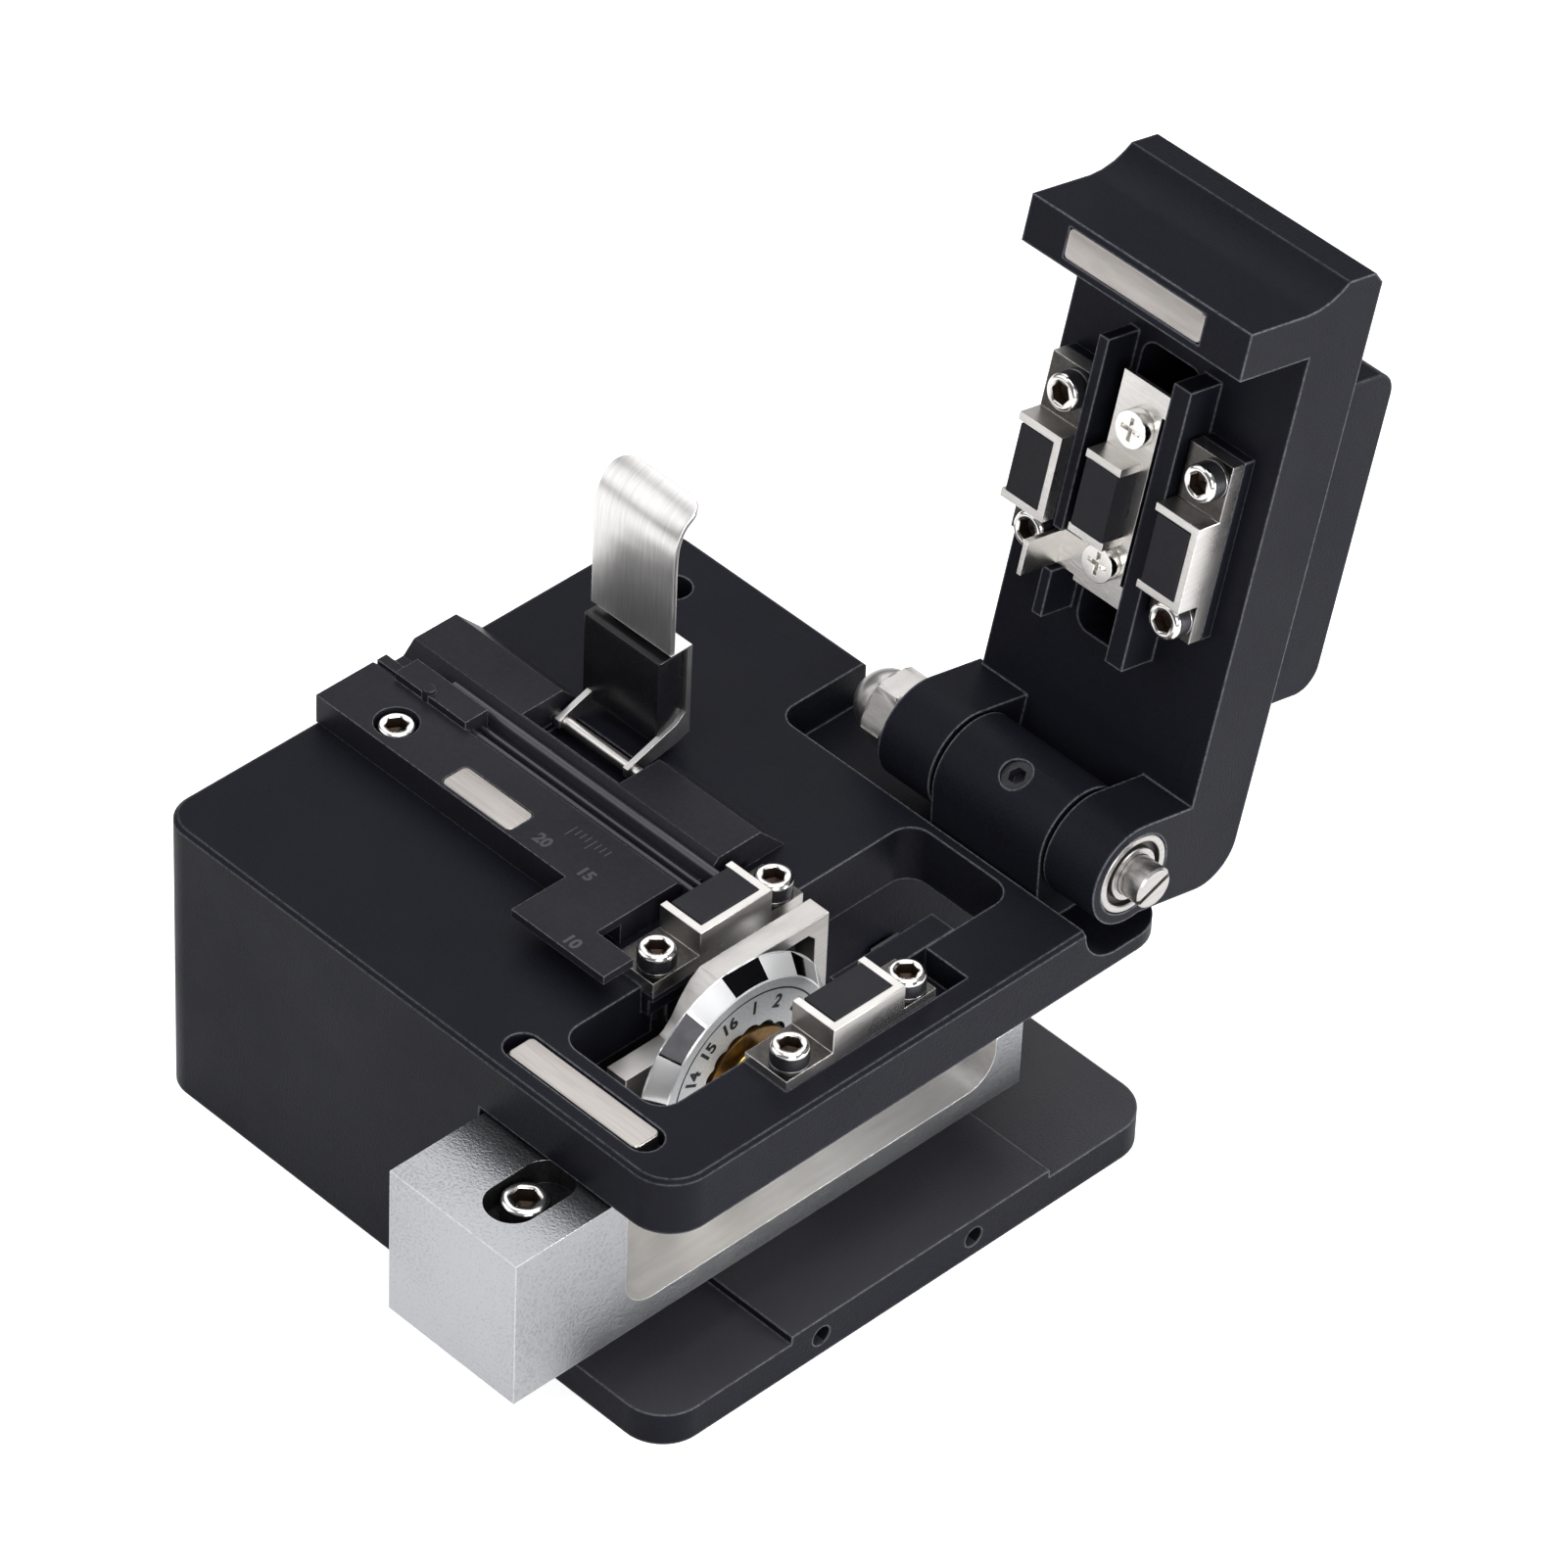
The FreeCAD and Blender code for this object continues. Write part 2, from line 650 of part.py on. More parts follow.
def guide_plate():
    body = piece("guide_plate")
    crest = top + dim.guide_height
    floor = top + dim.groove_floor
    groove_rear = dim.groove_front + dim.groove_width
    extrude(body, "section", "YZ", [
        (dim.guide_front, top), (dim.guide_front, crest), (dim.groove_front, crest),
        (dim.groove_front + dim.groove_rise, floor), (groove_rear - dim.groove_rise, floor),
        (groove_rear, crest), (dim.guide_rear - dim.guide_slope, crest), (dim.guide_rear, top),
    ], guide_left, guide_length)
    box(body, "lever_recess", (recess_left, recess_left + dim.recess_length),
        (pin_y - dim.lever_pin_shift, dim.guide_rear + 1), (top - 1, crest + 1), cut=True)
    tab_right = guide_right + dim.clamp_width - 0.5
    extrude(body, "front_tab", "XY", [
        (guide_right - dim.guide_tab_neck, dim.guide_front + 1),
        (guide_right - dim.guide_tab_neck, dim.guide_front - dim.guide_tab_reach),
        (tab_right, dim.guide_front - dim.guide_tab_reach),
        (tab_right, clamp_low - 0.6), (guide_right, clamp_low - 0.6), (guide_right, dim.guide_front + 1),
    ], crest - dim.guide_tab_thickness, dim.guide_tab_thickness)
    box(body, "end_ridge", (guide_left, guide_left + dim.end_ridge_length),
        (dim.groove_front + 0.5, dim.groove_front + 0.5 + dim.end_ridge_width), (floor - 0.5, crest))
    box(body, "end_block", (guide_left + 3, guide_left + 3 + dim.end_block_length),
        (dim.groove_front - 0.1, dim.groove_front + 2.6), (floor - 0.5, crest + dim.end_block_rise))
    box(body, "magnet_pocket", (guide_magnet_left, guide_magnet_left + dim.guide_magnet_length),
        (guide_magnet_front, guide_magnet_front + dim.guide_magnet_width),
        (crest - dim.guide_magnet_depth, crest + 1), cut=True)
    round_corners(body, "magnet_pocket_corners", "z", [
        (guide_magnet_left + across * dim.guide_magnet_length, guide_magnet_front + along * dim.guide_magnet_width)
        for across in (0, 1) for along in (0, 1)
    ], 0.6)
    rod(body, "screw_seat", "z", (left + dim.guide_screw_inset, guide_screw_y, crest - dim.screw_head_height),
        dim.screw_head_height + 1, dim.screw_head_radius + 0.3, cut=True)
    rod(body, "screw_hole", "z", (left + dim.guide_screw_inset, guide_screw_y, top - 1),
        dim.guide_height + 2, dim.screw_shank_radius, cut=True)
    rod(body, "pin_hole", "z", (guide_pin_x, guide_pin_y, floor), dim.guide_height + 1,
        dim.guide_pin_radius, cut=True)
    rod(body, "lever_pin_hole", "x", (recess_left - dim.lever_clear, pin_y, pin_z),
        dim.recess_length + 2 * dim.lever_clear, dim.lever_pin_radius, cut=True)


def guide_trim():
    body = piece("guide_magnet")
    crest = top + dim.guide_height
    box(body, "plate", (guide_magnet_left, guide_magnet_left + dim.guide_magnet_length),
        (guide_magnet_front, guide_magnet_front + dim.guide_magnet_width), (crest - dim.guide_magnet_depth, crest))
    round_corners(body, "corners", "z", [
        (guide_magnet_left + across * dim.guide_magnet_length, guide_magnet_front + along * dim.guide_magnet_width)
        for across in (0, 1) for along in (0, 1)
    ], 0.6)
    screw = cap_screw("guide_bolt", (left + dim.guide_screw_inset, guide_screw_y, crest - dim.screw_head_height),
                      dim.screw_head_radius, dim.screw_head_height - 0.2, dim.screw_shank_radius,
                      dim.guide_height - dim.screw_head_height + 3.8, dim.screw_socket)
    group("guide_screw", [screw])
    body = piece("guide_pin")
    rod(body, "pin", "z", (guide_pin_x, guide_pin_y, top + dim.groove_floor),
        dim.guide_height - dim.groove_floor + dim.end_block_rise + 0.4, dim.guide_pin_radius)


def lever():
    body = piece("lever_pin")
    rod(body, "wire", "x", (recess_left - dim.lever_clear, pin_y, pin_z),
        dim.recess_length + 2 * dim.lever_clear, dim.lever_pin_radius)
    back = pin_y + dim.lever_pad_face + dim.lever_pad_depth
    face = pin_y + dim.lever_tab_face
    low = pin_z + dim.lever_pad_low - 1
    step = pin_z + dim.lever_pad_high + 0.3
    bend = pin_z + dim.lever_tab_high
    tip_y = pin_y + dim.lever_tip_reach
    tip_z = pin_z + dim.lever_tip_high
    body = piece("clamp_lever")
    extrude(body, "sheet", "YZ", [
        (back, low), (back, step), (face, step), (face, bend), (face + 0.2, bend + 1.8),
        (face + 0.9, bend + 3.3), (face + 2.1, bend + 4.4), (tip_y, tip_z),
        (tip_y + 0.25, tip_z - dim.lever_sheet), (face + 2.4, bend + 3.8), (face + 1.4, bend + 2.9),
        (face + 0.8, bend + 1.6), (face + dim.lever_sheet, bend - 0.1), (face + dim.lever_sheet, step + dim.lever_sheet),
        (back + dim.lever_sheet, step + dim.lever_sheet), (back + dim.lever_sheet, low),
    ], lever_left, dim.lever_width)
    for name, start in (("left_ear", lever_left), ("right_ear", lever_left + dim.lever_width - dim.lever_sheet)):
        extrude(body, name, "YZ", [
            (back + dim.lever_sheet, low), (back + dim.lever_sheet, low + 3), (back - 1, low + 1.6),
            (pin_y - 0.9, pin_z + 0.6), (pin_y - 0.9, pin_z - 0.3), (pin_y + 1, pin_z - 0.4), (back - 1, low - 0.6),
        ], start, dim.lever_sheet)
    rod(body, "eye", "x", (lever_left - 1, pin_y, pin_z), dim.lever_width + 2,
        dim.lever_pin_radius + dim.running_fit, cut=True)
    body = piece("lever_pad")
    inner_left = lever_left + dim.lever_sheet
    extrude(body, "block", "YZ", [
        (pin_y + dim.lever_pad_face, pin_z + dim.lever_pad_low + 0.4),
        (pin_y + dim.lever_pad_face, pin_z + dim.lever_pad_high), (back, pin_z + dim.lever_pad_high),
        (back, low), (pin_y + dim.lever_pad_face + 1, low),
    ], inner_left, dim.lever_width - 2 * dim.lever_sheet)


def clamp_base(label, clamp_left, clamp_right, face, back):
    body = piece(label)
    box(body, "block", (clamp_left, clamp_right), (clamp_low, clamp_high), (face, back))
    return body


def retainer(label, clamp_x, face, side, low=0):
    # nickel sheet: a flat tab, a back wall and two prongs that hold the pad
    body = piece(label)
    tab = (face, face + dim.clamp_sheet) if side > 0 else (face - dim.clamp_sheet, face)
    rise = dim.fibre_rise + dim.clamp_sink - dim.prong_drop
    wall = (face, face + rise) if side > 0 else (face - rise, face)
    outer = clamp_x + dim.clamp_width
    box(body, "tab", (clamp_x, outer), (clamp_low - low, clamp_high - low), tab)
    box(body, "back_wall", (outer - dim.clamp_wall, outer), (prong_low - low, prong_high - low), wall)
    box(body, "front_prong", (clamp_x, outer), (prong_low - low, prong_low - low + dim.clamp_wall), wall)
    box(body, "rear_prong", (clamp_x, outer), (prong_high - low - dim.clamp_wall, prong_high - low), wall)
    for screw_y in (screw_y_low, screw_y_high):
        rod(body, "screw_hole", "z", (outer - dim.screw_inset, screw_y - low, face - 2), 4,
            dim.screw_shank_radius, cut=True)
    return body


def pad(label, clamp_x, face, side, low=0):
    body = piece(label)
    rise = dim.fibre_rise + dim.clamp_sink
    ends = (face + side * dim.clamp_sheet, face + side * rise)
    zs = ends if side > 0 else (ends[1], ends[0])
    box(body, "block", (clamp_x + dim.clamp_width - dim.clamp_wall - dim.pad_width,
                        clamp_x + dim.clamp_width - dim.clamp_wall),
        (prong_low - low + dim.clamp_wall + dim.pad_slack, prong_high - low - dim.clamp_wall - dim.pad_slack), zs)
    return body


def clamp_screws(label, face, side, low=0):
    screws = []
    rings = []
    for clamp_x in (left_screw_x, right_screw_x):
        for screw_y in (screw_y_low, screw_y_high):
            ring_z = face + dim.clamp_sheet if side > 0 else face - dim.clamp_sheet - dim.screw_washer
            spot = (clamp_x, screw_y - low, ring_z)
            outer = solid("Cylinder", label + "_ring", spot, Radius=dim.screw_head_radius, Height=dim.screw_washer)
            hole = solid("Cylinder", label + "_ring_hole", spot, Radius=dim.screw_shank_radius,
                         Height=dim.screw_washer)
            rings.append(combine("Cut", label + "_washer", outer, hole))
            head_z = ring_z + dim.screw_washer if side > 0 else ring_z
            screws.append(cap_screw(label + "_screw", (clamp_x, screw_y - low, head_z), dim.screw_head_radius,
                                    dim.screw_head_height, dim.screw_shank_radius, dim.screw_length,
                                    dim.screw_socket, side))
    return group(label + "_screws", screws), group(label + "_washers", rings)


def lower_clamps():
    left_base = clamp_base("lower_base_left", left_clamp, left_clamp + dim.clamp_width, pocket_floor, seat)
    box(left_base, "step", (left_clamp + dim.clamp_width - dim.base_step, left_clamp + dim.clamp_width + 1),
        (clamp_low - 1, clamp_high + 1), (pocket_floor - 1, seat - dim.base_step_drop), cut=True)
    right_base = clamp_base("lower_base_right", right_clamp, clamp_plate_right - dim.running_fit, pocket_floor, seat)
    box(right_base, "plate", (right_clamp - dim.clamp_plate_reach, right_clamp),
        (fibre_y + dim.clamp_plate_front, fibre_y + dim.clamp_plate_rear), (pocket_floor, top))
    for base, screw_x in ((left_base, left_screw_x), (right_base, right_screw_x)):
        for screw_y in (screw_y_low, screw_y_high):
            rod(base, "screw_hole", "z", (screw_x, screw_y, pocket_floor - 1), dim.clamp_depth + 3,
                dim.screw_shank_radius, cut=True)
    retainer("lower_retainer_left", left_clamp, seat, 1)
    retainer("lower_retainer_right", right_clamp, seat, 1)
    pad("lower_pad_left", left_clamp, seat, 1)
    pad("lower_pad_right", right_clamp, seat, 1)
    clamp_screws("lower_clamp", seat, 1)


def slider():
    body = piece("slider")
    base = slider_bottom
    floor = base + dim.slider_floor
    block_rear = slider_front + dim.slider_block
    slider_rear = slider_front + dim.slider_length
    crest = deck_under - dim.slider_head_clear
    extrude(body, "side", "YZ", [
        (slider_front, base), (slider_rear, base), (slider_rear, base + dim.slider_wall_height),
        (slider_rear - dim.slider_wall, base + dim.slider_wall_height), (slider_rear - dim.slider_wall, floor),
        (block_rear, floor), (block_rear, crest), (slider_front, crest),
    ], slider_left, dim.slider_width)
    round_corners(body, "inner_blends", "x", [(slider_rear - dim.slider_wall, floor), (block_rear, floor)],
                  dim.slider_blend)
    recess_y = slider_front + dim.slider_recess_front
    box(body, "screw_recess", (slider_screw_x - dim.recess_width / 2, slider_screw_x + dim.recess_width / 2),
        (recess_y, recess_y + dim.slider_recess_run), (crest - dim.slider_recess_depth, crest + 1), cut=True)
    round_corners(body, "recess_ends", "z", [
        (slider_screw_x + side * dim.recess_width / 2, recess_y + end * dim.slider_recess_run)
        for side in (-1, 1) for end in (0, 1)
    ], dim.recess_width / 2 - 0.05)
    rod(body, "screw_hole", "z", (slider_screw_x, slider_screw_y,
                                    crest - dim.slider_recess_depth - dim.slider_screw_length - 1),
        dim.slider_screw_length + 2, dim.screw_shank_radius, cut=True)
    for end in (-1, 1):
        rod(body, "carriage_screw_hole", "z", (rail_x, carriage_middle + end * dim.carriage_length / 4, base - 1),
            dim.slider_floor + 2, dim.rail_screw_radius, cut=True)
        rod(body, "carriage_screw_seat", "z", (rail_x, carriage_middle + end * dim.carriage_length / 4,
                                               floor - dim.carriage_head_depth),
            dim.carriage_head_depth + 1, dim.rail_screw_radius * 2, cut=True)
    screw = cap_screw("slider_bolt", (slider_screw_x, slider_screw_y, crest - dim.slider_recess_depth),
                      dim.slider_screw_radius, dim.slider_recess_depth - 0.3, dim.screw_shank_radius, dim.slider_screw_length,
                      dim.screw_socket * 1.2)
    group("slider_screw", [screw])


def linear_rail():
    body = piece("linear_rail")
    half = dim.rail_width / 2
    waist = half - dim.rail_groove
    low = land_top
    extrude(body, "section", "XZ", [
        (rail_x - half, low), (rail_x + half, low), (rail_x + half, low + 0.9), (rail_x + waist, low + 1.3),
        (rail_x + waist, low + 1.7), (rail_x + half, low + 2.1), (rail_x + half, low + dim.rail_height),
        (rail_x - half, low + dim.rail_height), (rail_x - half, low + 2.1), (rail_x - waist, low + 1.7),
        (rail_x - waist, low + 1.3), (rail_x - half, low + 0.9),
    ], land_middle + dim.rail_length / 2, dim.rail_length)
    for end in (-1, 1):
        spot_y = land_middle + end * dim.rail_length / 3
        rod(body, "screw_hole", "z", (rail_x, spot_y, low - 1), dim.rail_height + 2, dim.rail_screw_radius, cut=True)
    body = piece("rail_carriage")
    half = dim.carriage_width / 2
    inner = dim.rail_width / 2 + dim.rail_fit
    extrude(body, "section", "XZ", [
        (rail_x - half, low + dim.carriage_lift), (rail_x - inner, low + dim.carriage_lift),
        (rail_x - inner, low + dim.rail_height + dim.rail_fit), (rail_x + inner, low + dim.rail_height + dim.rail_fit),
        (rail_x + inner, low + dim.carriage_lift), (rail_x + half, low + dim.carriage_lift),
        (rail_x + half, low + dim.carriage_height), (rail_x - half, low + dim.carriage_height),
    ], carriage_middle + dim.carriage_length / 2, dim.carriage_length)
    for end in (-1, 1):
        rod(body, "screw_hole", "z", (rail_x, carriage_middle + end * dim.carriage_length / 4,
                                      low + dim.rail_height + dim.rail_fit), 3, dim.rail_screw_radius, cut=True)
    screws = [
        solid("Cylinder", "rail_screw", (rail_x, land_middle + end * dim.rail_length / 3, 1),
              Radius=dim.rail_screw_radius, Height=land_top + dim.rail_height - 1.2)
        for end in (-1, 1)
    ]
    group("rail_screws", screws)
    screws = [
        cap_screw("carriage_bolt", (rail_x, carriage_middle + end * dim.carriage_length / 4,
                                    slider_bottom + dim.slider_floor - dim.carriage_head_depth),
                  dim.rail_screw_radius * 1.8, dim.carriage_head_depth - 0.1, dim.rail_screw_radius,
                  dim.slider_floor + 1 - dim.carriage_head_depth, dim.rail_screw_radius * 0.9)
        for end in (-1, 1)
    ]
    group("carriage_screws", screws)


def blade_bracket():
    body = piece("blade_bracket")
    foot = slider_bottom + dim.slider_floor
    bar = fibre_z - dim.bracket_bar_drop
    crest = fibre_z - dim.bracket_top_drop
    low = blade_y - dim.bracket_front
    high = blade_y + dim.bracket_rear
    step = blade_y - dim.bracket_step
    run = dim.bracket_step_run
    drop = crest - bar
    extrude(body, "plate", "YZ", [
        (low, foot), (high, foot), (high, crest), (step, crest), (step - 0.24 * run, crest - 0.16 * drop),
        (step - 0.5 * run, crest - 0.46 * drop), (step - 0.7 * run, bar + 0.24 * drop),
        (step - 0.88 * run, bar + 0.07 * drop), (step - run, bar), (low, bar),
    ], bracket_left, dim.bracket_thickness)
    floor = blade_z + dim.arch_floor
    roof = crest - dim.arch_wall
    extrude(body, "arch", "YZ", [
        (blade_y + 0.3, floor), (high - dim.arch_side, floor), (high - dim.arch_side, roof - 0.8),
        (high - dim.arch_side - 0.8, roof), (blade_y + 0.3 + dim.arch_slope, roof), (blade_y + 0.3, roof - 1.7),
    ], bracket_left - 1, dim.bracket_thickness + 2, cut=True)
    rod(body, "axle_hole", "x", (bracket_left - 1, blade_y, blade_z), dim.bracket_thickness + 2,
        dim.axle_radius, cut=True)
    spots = (("upper", step - 0.1, crest - 2.2), ("lower", step - 0.3 * run, crest - 4.2))
    screws = []
    for name, spot_y, spot_z in spots:
        rod(body, name + "_screw_hole", "x", (bracket_left + 1, spot_y, spot_z), dim.bracket_thickness,
            dim.bracket_screw_radius * 0.6, cut=True)
        stem = solid("Cylinder", name + "_shank", (bracket_left + 1, spot_y, spot_z), AXES["x"],
                     Radius=dim.bracket_screw_radius * 0.6, Height=dim.bracket_thickness - 1)
        head = solid("Cylinder", name + "_head", (bracket_left + dim.bracket_thickness, spot_y, spot_z), AXES["x"],
                     Radius=dim.bracket_screw_radius, Height=0.6)
        screws.append(combine("Fuse", name + "_bracket_screw", stem, head))
    group("bracket_screws", screws)


def dial_outline(name, start, radius):
    # a regular outline round the blade's axis, one side for each position of the blade
    ring = doc.addObject("Part::RegularPolygon", name)
    bind(ring, "Polygon", dim.blade_sides)
    bind(ring, "Circumradius", radius)
    put(ring, (start, blade_y, blade_z), AXES["x"].multiply(Rotation(Vector(0, 0, 1), dim.blade_turn.value)))
    return ring


def blade():
    back = blade_face - dim.blade_thickness
    disc = solid("Cylinder", "blade_disc", (back, blade_y, blade_z), AXES["x"],
                 Radius=blade_radius, Height=dim.blade_edge)
    wheel = doc.addObject("Part::Loft", "blade_wheel")
    wheel.Sections = [dial_outline("wheel_back", back + dim.blade_edge, blade_radius),
                      dial_outline("wheel_face", blade_face, blade_radius - dim.dial_bevel)]
    wheel.Solid = True
    wheel.Ruled = True
    recess = solid("Cylinder", "dial_recess", (blade_face - dim.dial_recess, blade_y, blade_z), AXES["x"],
                   Radius=dim.dial_recess_radius, Height=dim.dial_recess + 1)
    bore = solid("Cylinder", "blade_bore", (back - 1, blade_y, blade_z), AXES["x"],
                 Radius=dim.hub_sleeve_radius, Height=dim.blade_thickness + 2)
    whole = combine("Fuse", "blade_body", disc, wheel)
    group("blade", [combine("Cut", "blade_bored", combine("Cut", "blade_faced", whole, recess), bore)])
    body = piece("blade_hub")
    sleeve_start = bracket_left + dim.bracket_thickness + 0.1
    seat_face = blade_face - dim.dial_recess
    rod(body, "sleeve", "x", (sleeve_start, blade_y, blade_z), seat_face - sleeve_start, dim.hub_sleeve_radius)
    rod(body, "flange", "x", (seat_face, blade_y, blade_z), dim.hub_flange, dim.hub_radius)
    rod(body, "boss", "x", (seat_face, blade_y, blade_z), dim.hub_flange + dim.hub_length, dim.hub_boss_radius)
    dress(body, "boss_edge", "Chamfer", circle_edges(body.Tip.Shape, dim.hub_boss_radius.value), 0.3)
    rod(body, "collar", "x", (sleeve_start, blade_y, blade_z), back - sleeve_start, dim.hub_sleeve_radius + 1)
    end = seat_face + dim.hub_flange + dim.hub_length + 0.1
    rod(body, "bore", "x", (sleeve_start - 1, blade_y, blade_z), end - sleeve_start + 2,
        dim.axle_radius + dim.running_fit, cut=True)
    body = piece("blade_axle")
    rod(body, "axle", "x", (bracket_left, blade_y, blade_z), end - bracket_left, dim.axle_radius)
    rod(body, "head", "x", (end, blade_y, blade_z), dim.axle_head, dim.axle_head_radius)


def hinge_shaft():
    body = piece("hinge_shaft")
    start = nut_left + 1
    rod(body, "shaft", "x", (start, hinge_y, hinge_z), lid_right + dim.shaft_overhang - start, dim.shaft_radius)
    dress(body, "ends", "Chamfer", circle_edges(body.Tip.Shape, dim.shaft_radius.value), 0.4)
    box(body, "slot", (lid_right + dim.shaft_overhang - dim.shaft_slot_depth, lid_right + dim.shaft_overhang + 1),
        (hinge_y - dim.shaft_slot_width / 2, hinge_y + dim.shaft_slot_width / 2),
        (hinge_z - dim.shaft_radius - 1, hinge_z + dim.shaft_radius + 1), cut=True)
    barrel = solid("Prism", "nut_barrel", (nut_left + dim.nut_dome_radius, hinge_y, hinge_z), AXES["x"],
                   Circumradius=dim.nut_flats / math.sqrt(3), Height=dim.nut_height)
    dome = solid("Sphere", "nut_dome", (nut_left + dim.nut_dome_radius, hinge_y, hinge_z),
                 Radius=dim.nut_dome_radius)
    thread = solid("Cylinder", "nut_thread", (start, hinge_y, hinge_z), AXES["x"],
                   Radius=dim.shaft_radius, Height=dim.nut_height + dim.nut_dome_radius)
    nut = combine("Cut", "nut_whole", combine("Fuse", "nut_outside", barrel, dome), thread)
    group("acorn_nut", [nut])
    body = piece("hinge_washer")
    rod(body, "ring", "x", (nut_right, hinge_y, hinge_z), dim.washer_thickness, dim.washer_radius)
    rod(body, "hole", "x", (nut_right - 1, hinge_y, hinge_z), dim.washer_thickness + 2, dim.shaft_radius, cut=True)
    body = piece("hinge_set_screw")
    tilt = Rotation(Vector(1, 0, 0), dim.set_screw_angle.value)
    out = dim.shaft_radius + 0.05
    spot = (set_screw_x, hinge_y - out * sine(dim.set_screw_angle), hinge_z + out * cosine(dim.set_screw_angle))
    stem = body.newObject("PartDesign::AdditiveCylinder", "stem")
    bind(stem, "Radius", dim.set_screw_radius)
    bind(stem, "Height", dim.set_screw_length)
    put(stem, spot, tilt)
    bind(stem, "Placement.Rotation.Angle", dim.set_screw_angle)
    doc.recompute()
    reach = out + dim.set_screw_length - 1.2
    pit = body.newObject("PartDesign::SubtractivePrism", "key")
    bind(pit, "Circumradius", 0.85)
    bind(pit, "Height", 2)
    put(pit, (set_screw_x, hinge_y - reach * sine(dim.set_screw_angle),
              hinge_z + reach * cosine(dim.set_screw_angle)), tilt)
    bind(pit, "Placement.Rotation.Angle", dim.set_screw_angle)
    doc.recompute()


def lid_frame():
    body = on_lid(piece("lid_frame"))
    lip_front = front - hinge_y + 0.1
    lip_rear = lip_front + dim.lip_thickness
    lip_low = top + dim.lip_gap - hinge_z
    scoop = dim.scoop_low - dim.scoop_start
    extrude(body, "profile", "YZ", [
        (dim.lid_rear, dim.lid_inner), (lip_rear, dim.lid_inner), (lip_rear, lip_low), (lip_front, lip_low),
        (lip_front, dim.scoop_start), (lip_front - 0.1 * dim.scoop_reach, dim.scoop_start + 0.3 * scoop),
        (lip_front - 0.34 * dim.scoop_reach, dim.scoop_start + 0.6 * scoop),
        (lip_front - 0.68 * dim.scoop_reach, dim.scoop_start + 0.84 * scoop),
        (lip_front - dim.scoop_reach, dim.scoop_low),
        (lip_front - dim.scoop_reach, dim.scoop_high), (lip_front - dim.scoop_reach + 1.1, dim.lid_outer),
        (dim.lid_rear, dim.lid_outer),
    ], lid_left, dim.lid_width)
    round_corners(body, "rear_corner", "x", [(dim.lid_rear, dim.lid_outer)], dim.lid_rear_radius)
    ends = (("left", left_knuckle_left, left_knuckle_right, left_knuckle_left),
            ("right", knuckle_right + dim.knuckle_gap, lid_right, lid_right - dim.bearing_length))
    for name, start, stop, bearing in ends:
        box(body, name + "_arm", (start, stop), (-dim.knuckle_radius, dim.lid_rear), (0, dim.lid_inner + 0.5))
        rod(body, name + "_knuckle", "x", (start, 0, 0), stop - start, dim.knuckle_radius)
        rod(body, name + "_bore", "x", (start - 1, 0, 0), stop - start + 2, dim.shaft_radius + 0.3, cut=True)
        rod(body, name + "_bearing_seat", "x", (bearing, 0, 0), dim.bearing_length, dim.bearing_radius, cut=True)
    channel_rear = channel_low + dim.channel_length
    box(body, "channel", (channel_left, channel_left + dim.channel_width), (channel_low, channel_rear),
        (dim.lid_inner - 1, dim.lid_outer + 1), cut=True)
    round_corners(body, "channel_corners", "z", [
        (channel_left + across * dim.channel_width, y) for across in (0, 1) for y in (channel_low, channel_rear)
    ], 1.5)
    bar_low = fibre_local + dim.rail_bar_behind - dim.rail_bar_length
    channel_right = channel_left + dim.channel_width
    bars = (("left_bar", left_bar, left_bar + dim.left_bar_width),
            ("right_bar", channel_right, channel_right + dim.rail_bar_width))
    for name, start, stop in bars:
        box(body, name, (start, stop), (bar_low, bar_low + dim.rail_bar_length),
            (dim.lid_inner - dim.rail_rise, dim.lid_inner + 0.5))
    finger_rear = fibre_local + dim.finger_behind
    box(body, "finger_notch", (left_bar - 1, channel_left + 0.5),
        (finger_rear - dim.finger_length - 0.3, finger_rear + 0.3), (0, dim.lid_inner - 0.6), cut=True)
    middle = magnet_middle + dim.lid_magnet_shift
    box(body, "magnet_pocket", (middle - dim.magnet_length / 2, middle + dim.magnet_length / 2),
        (lid_magnet_y - dim.magnet_width / 2, lid_magnet_y + dim.magnet_width / 2),
        (lip_low - 1, lip_low + dim.magnet_thickness), cut=True)
    for clamp_x in (left_screw_x, right_screw_x):
        for screw_y in (screw_y_low, screw_y_high):
            rod(body, "clamp_screw_hole", "z", (clamp_x, screw_y - hinge_y, dim.lid_inner - 1),
                dim.lid_outer - dim.lid_inner, dim.screw_shank_radius, cut=True)
    body = on_lid(piece("lid_magnet"))
    box(body, "bar", (middle - dim.magnet_length / 2, middle + dim.magnet_length / 2),
        (lid_magnet_y - dim.magnet_width / 2, lid_magnet_y + dim.magnet_width / 2),
        (lip_low, lip_low + dim.magnet_thickness))


def lid_cover():
    body = on_lid(piece("lid_cover"))
    high = fibre_local + dim.cover_behind
    low = high - dim.cover_length
    box(body, "block", (lid_left + dim.cover_inset, lid_right - dim.cover_inset), (low, high),
        (dim.lid_outer, dim.lid_outer + dim.cover_rise))
    round_corners(body, "corners", "x", [(low, dim.lid_outer + dim.cover_rise),
                                         (high, dim.lid_outer + dim.cover_rise)], dim.cover_radius)


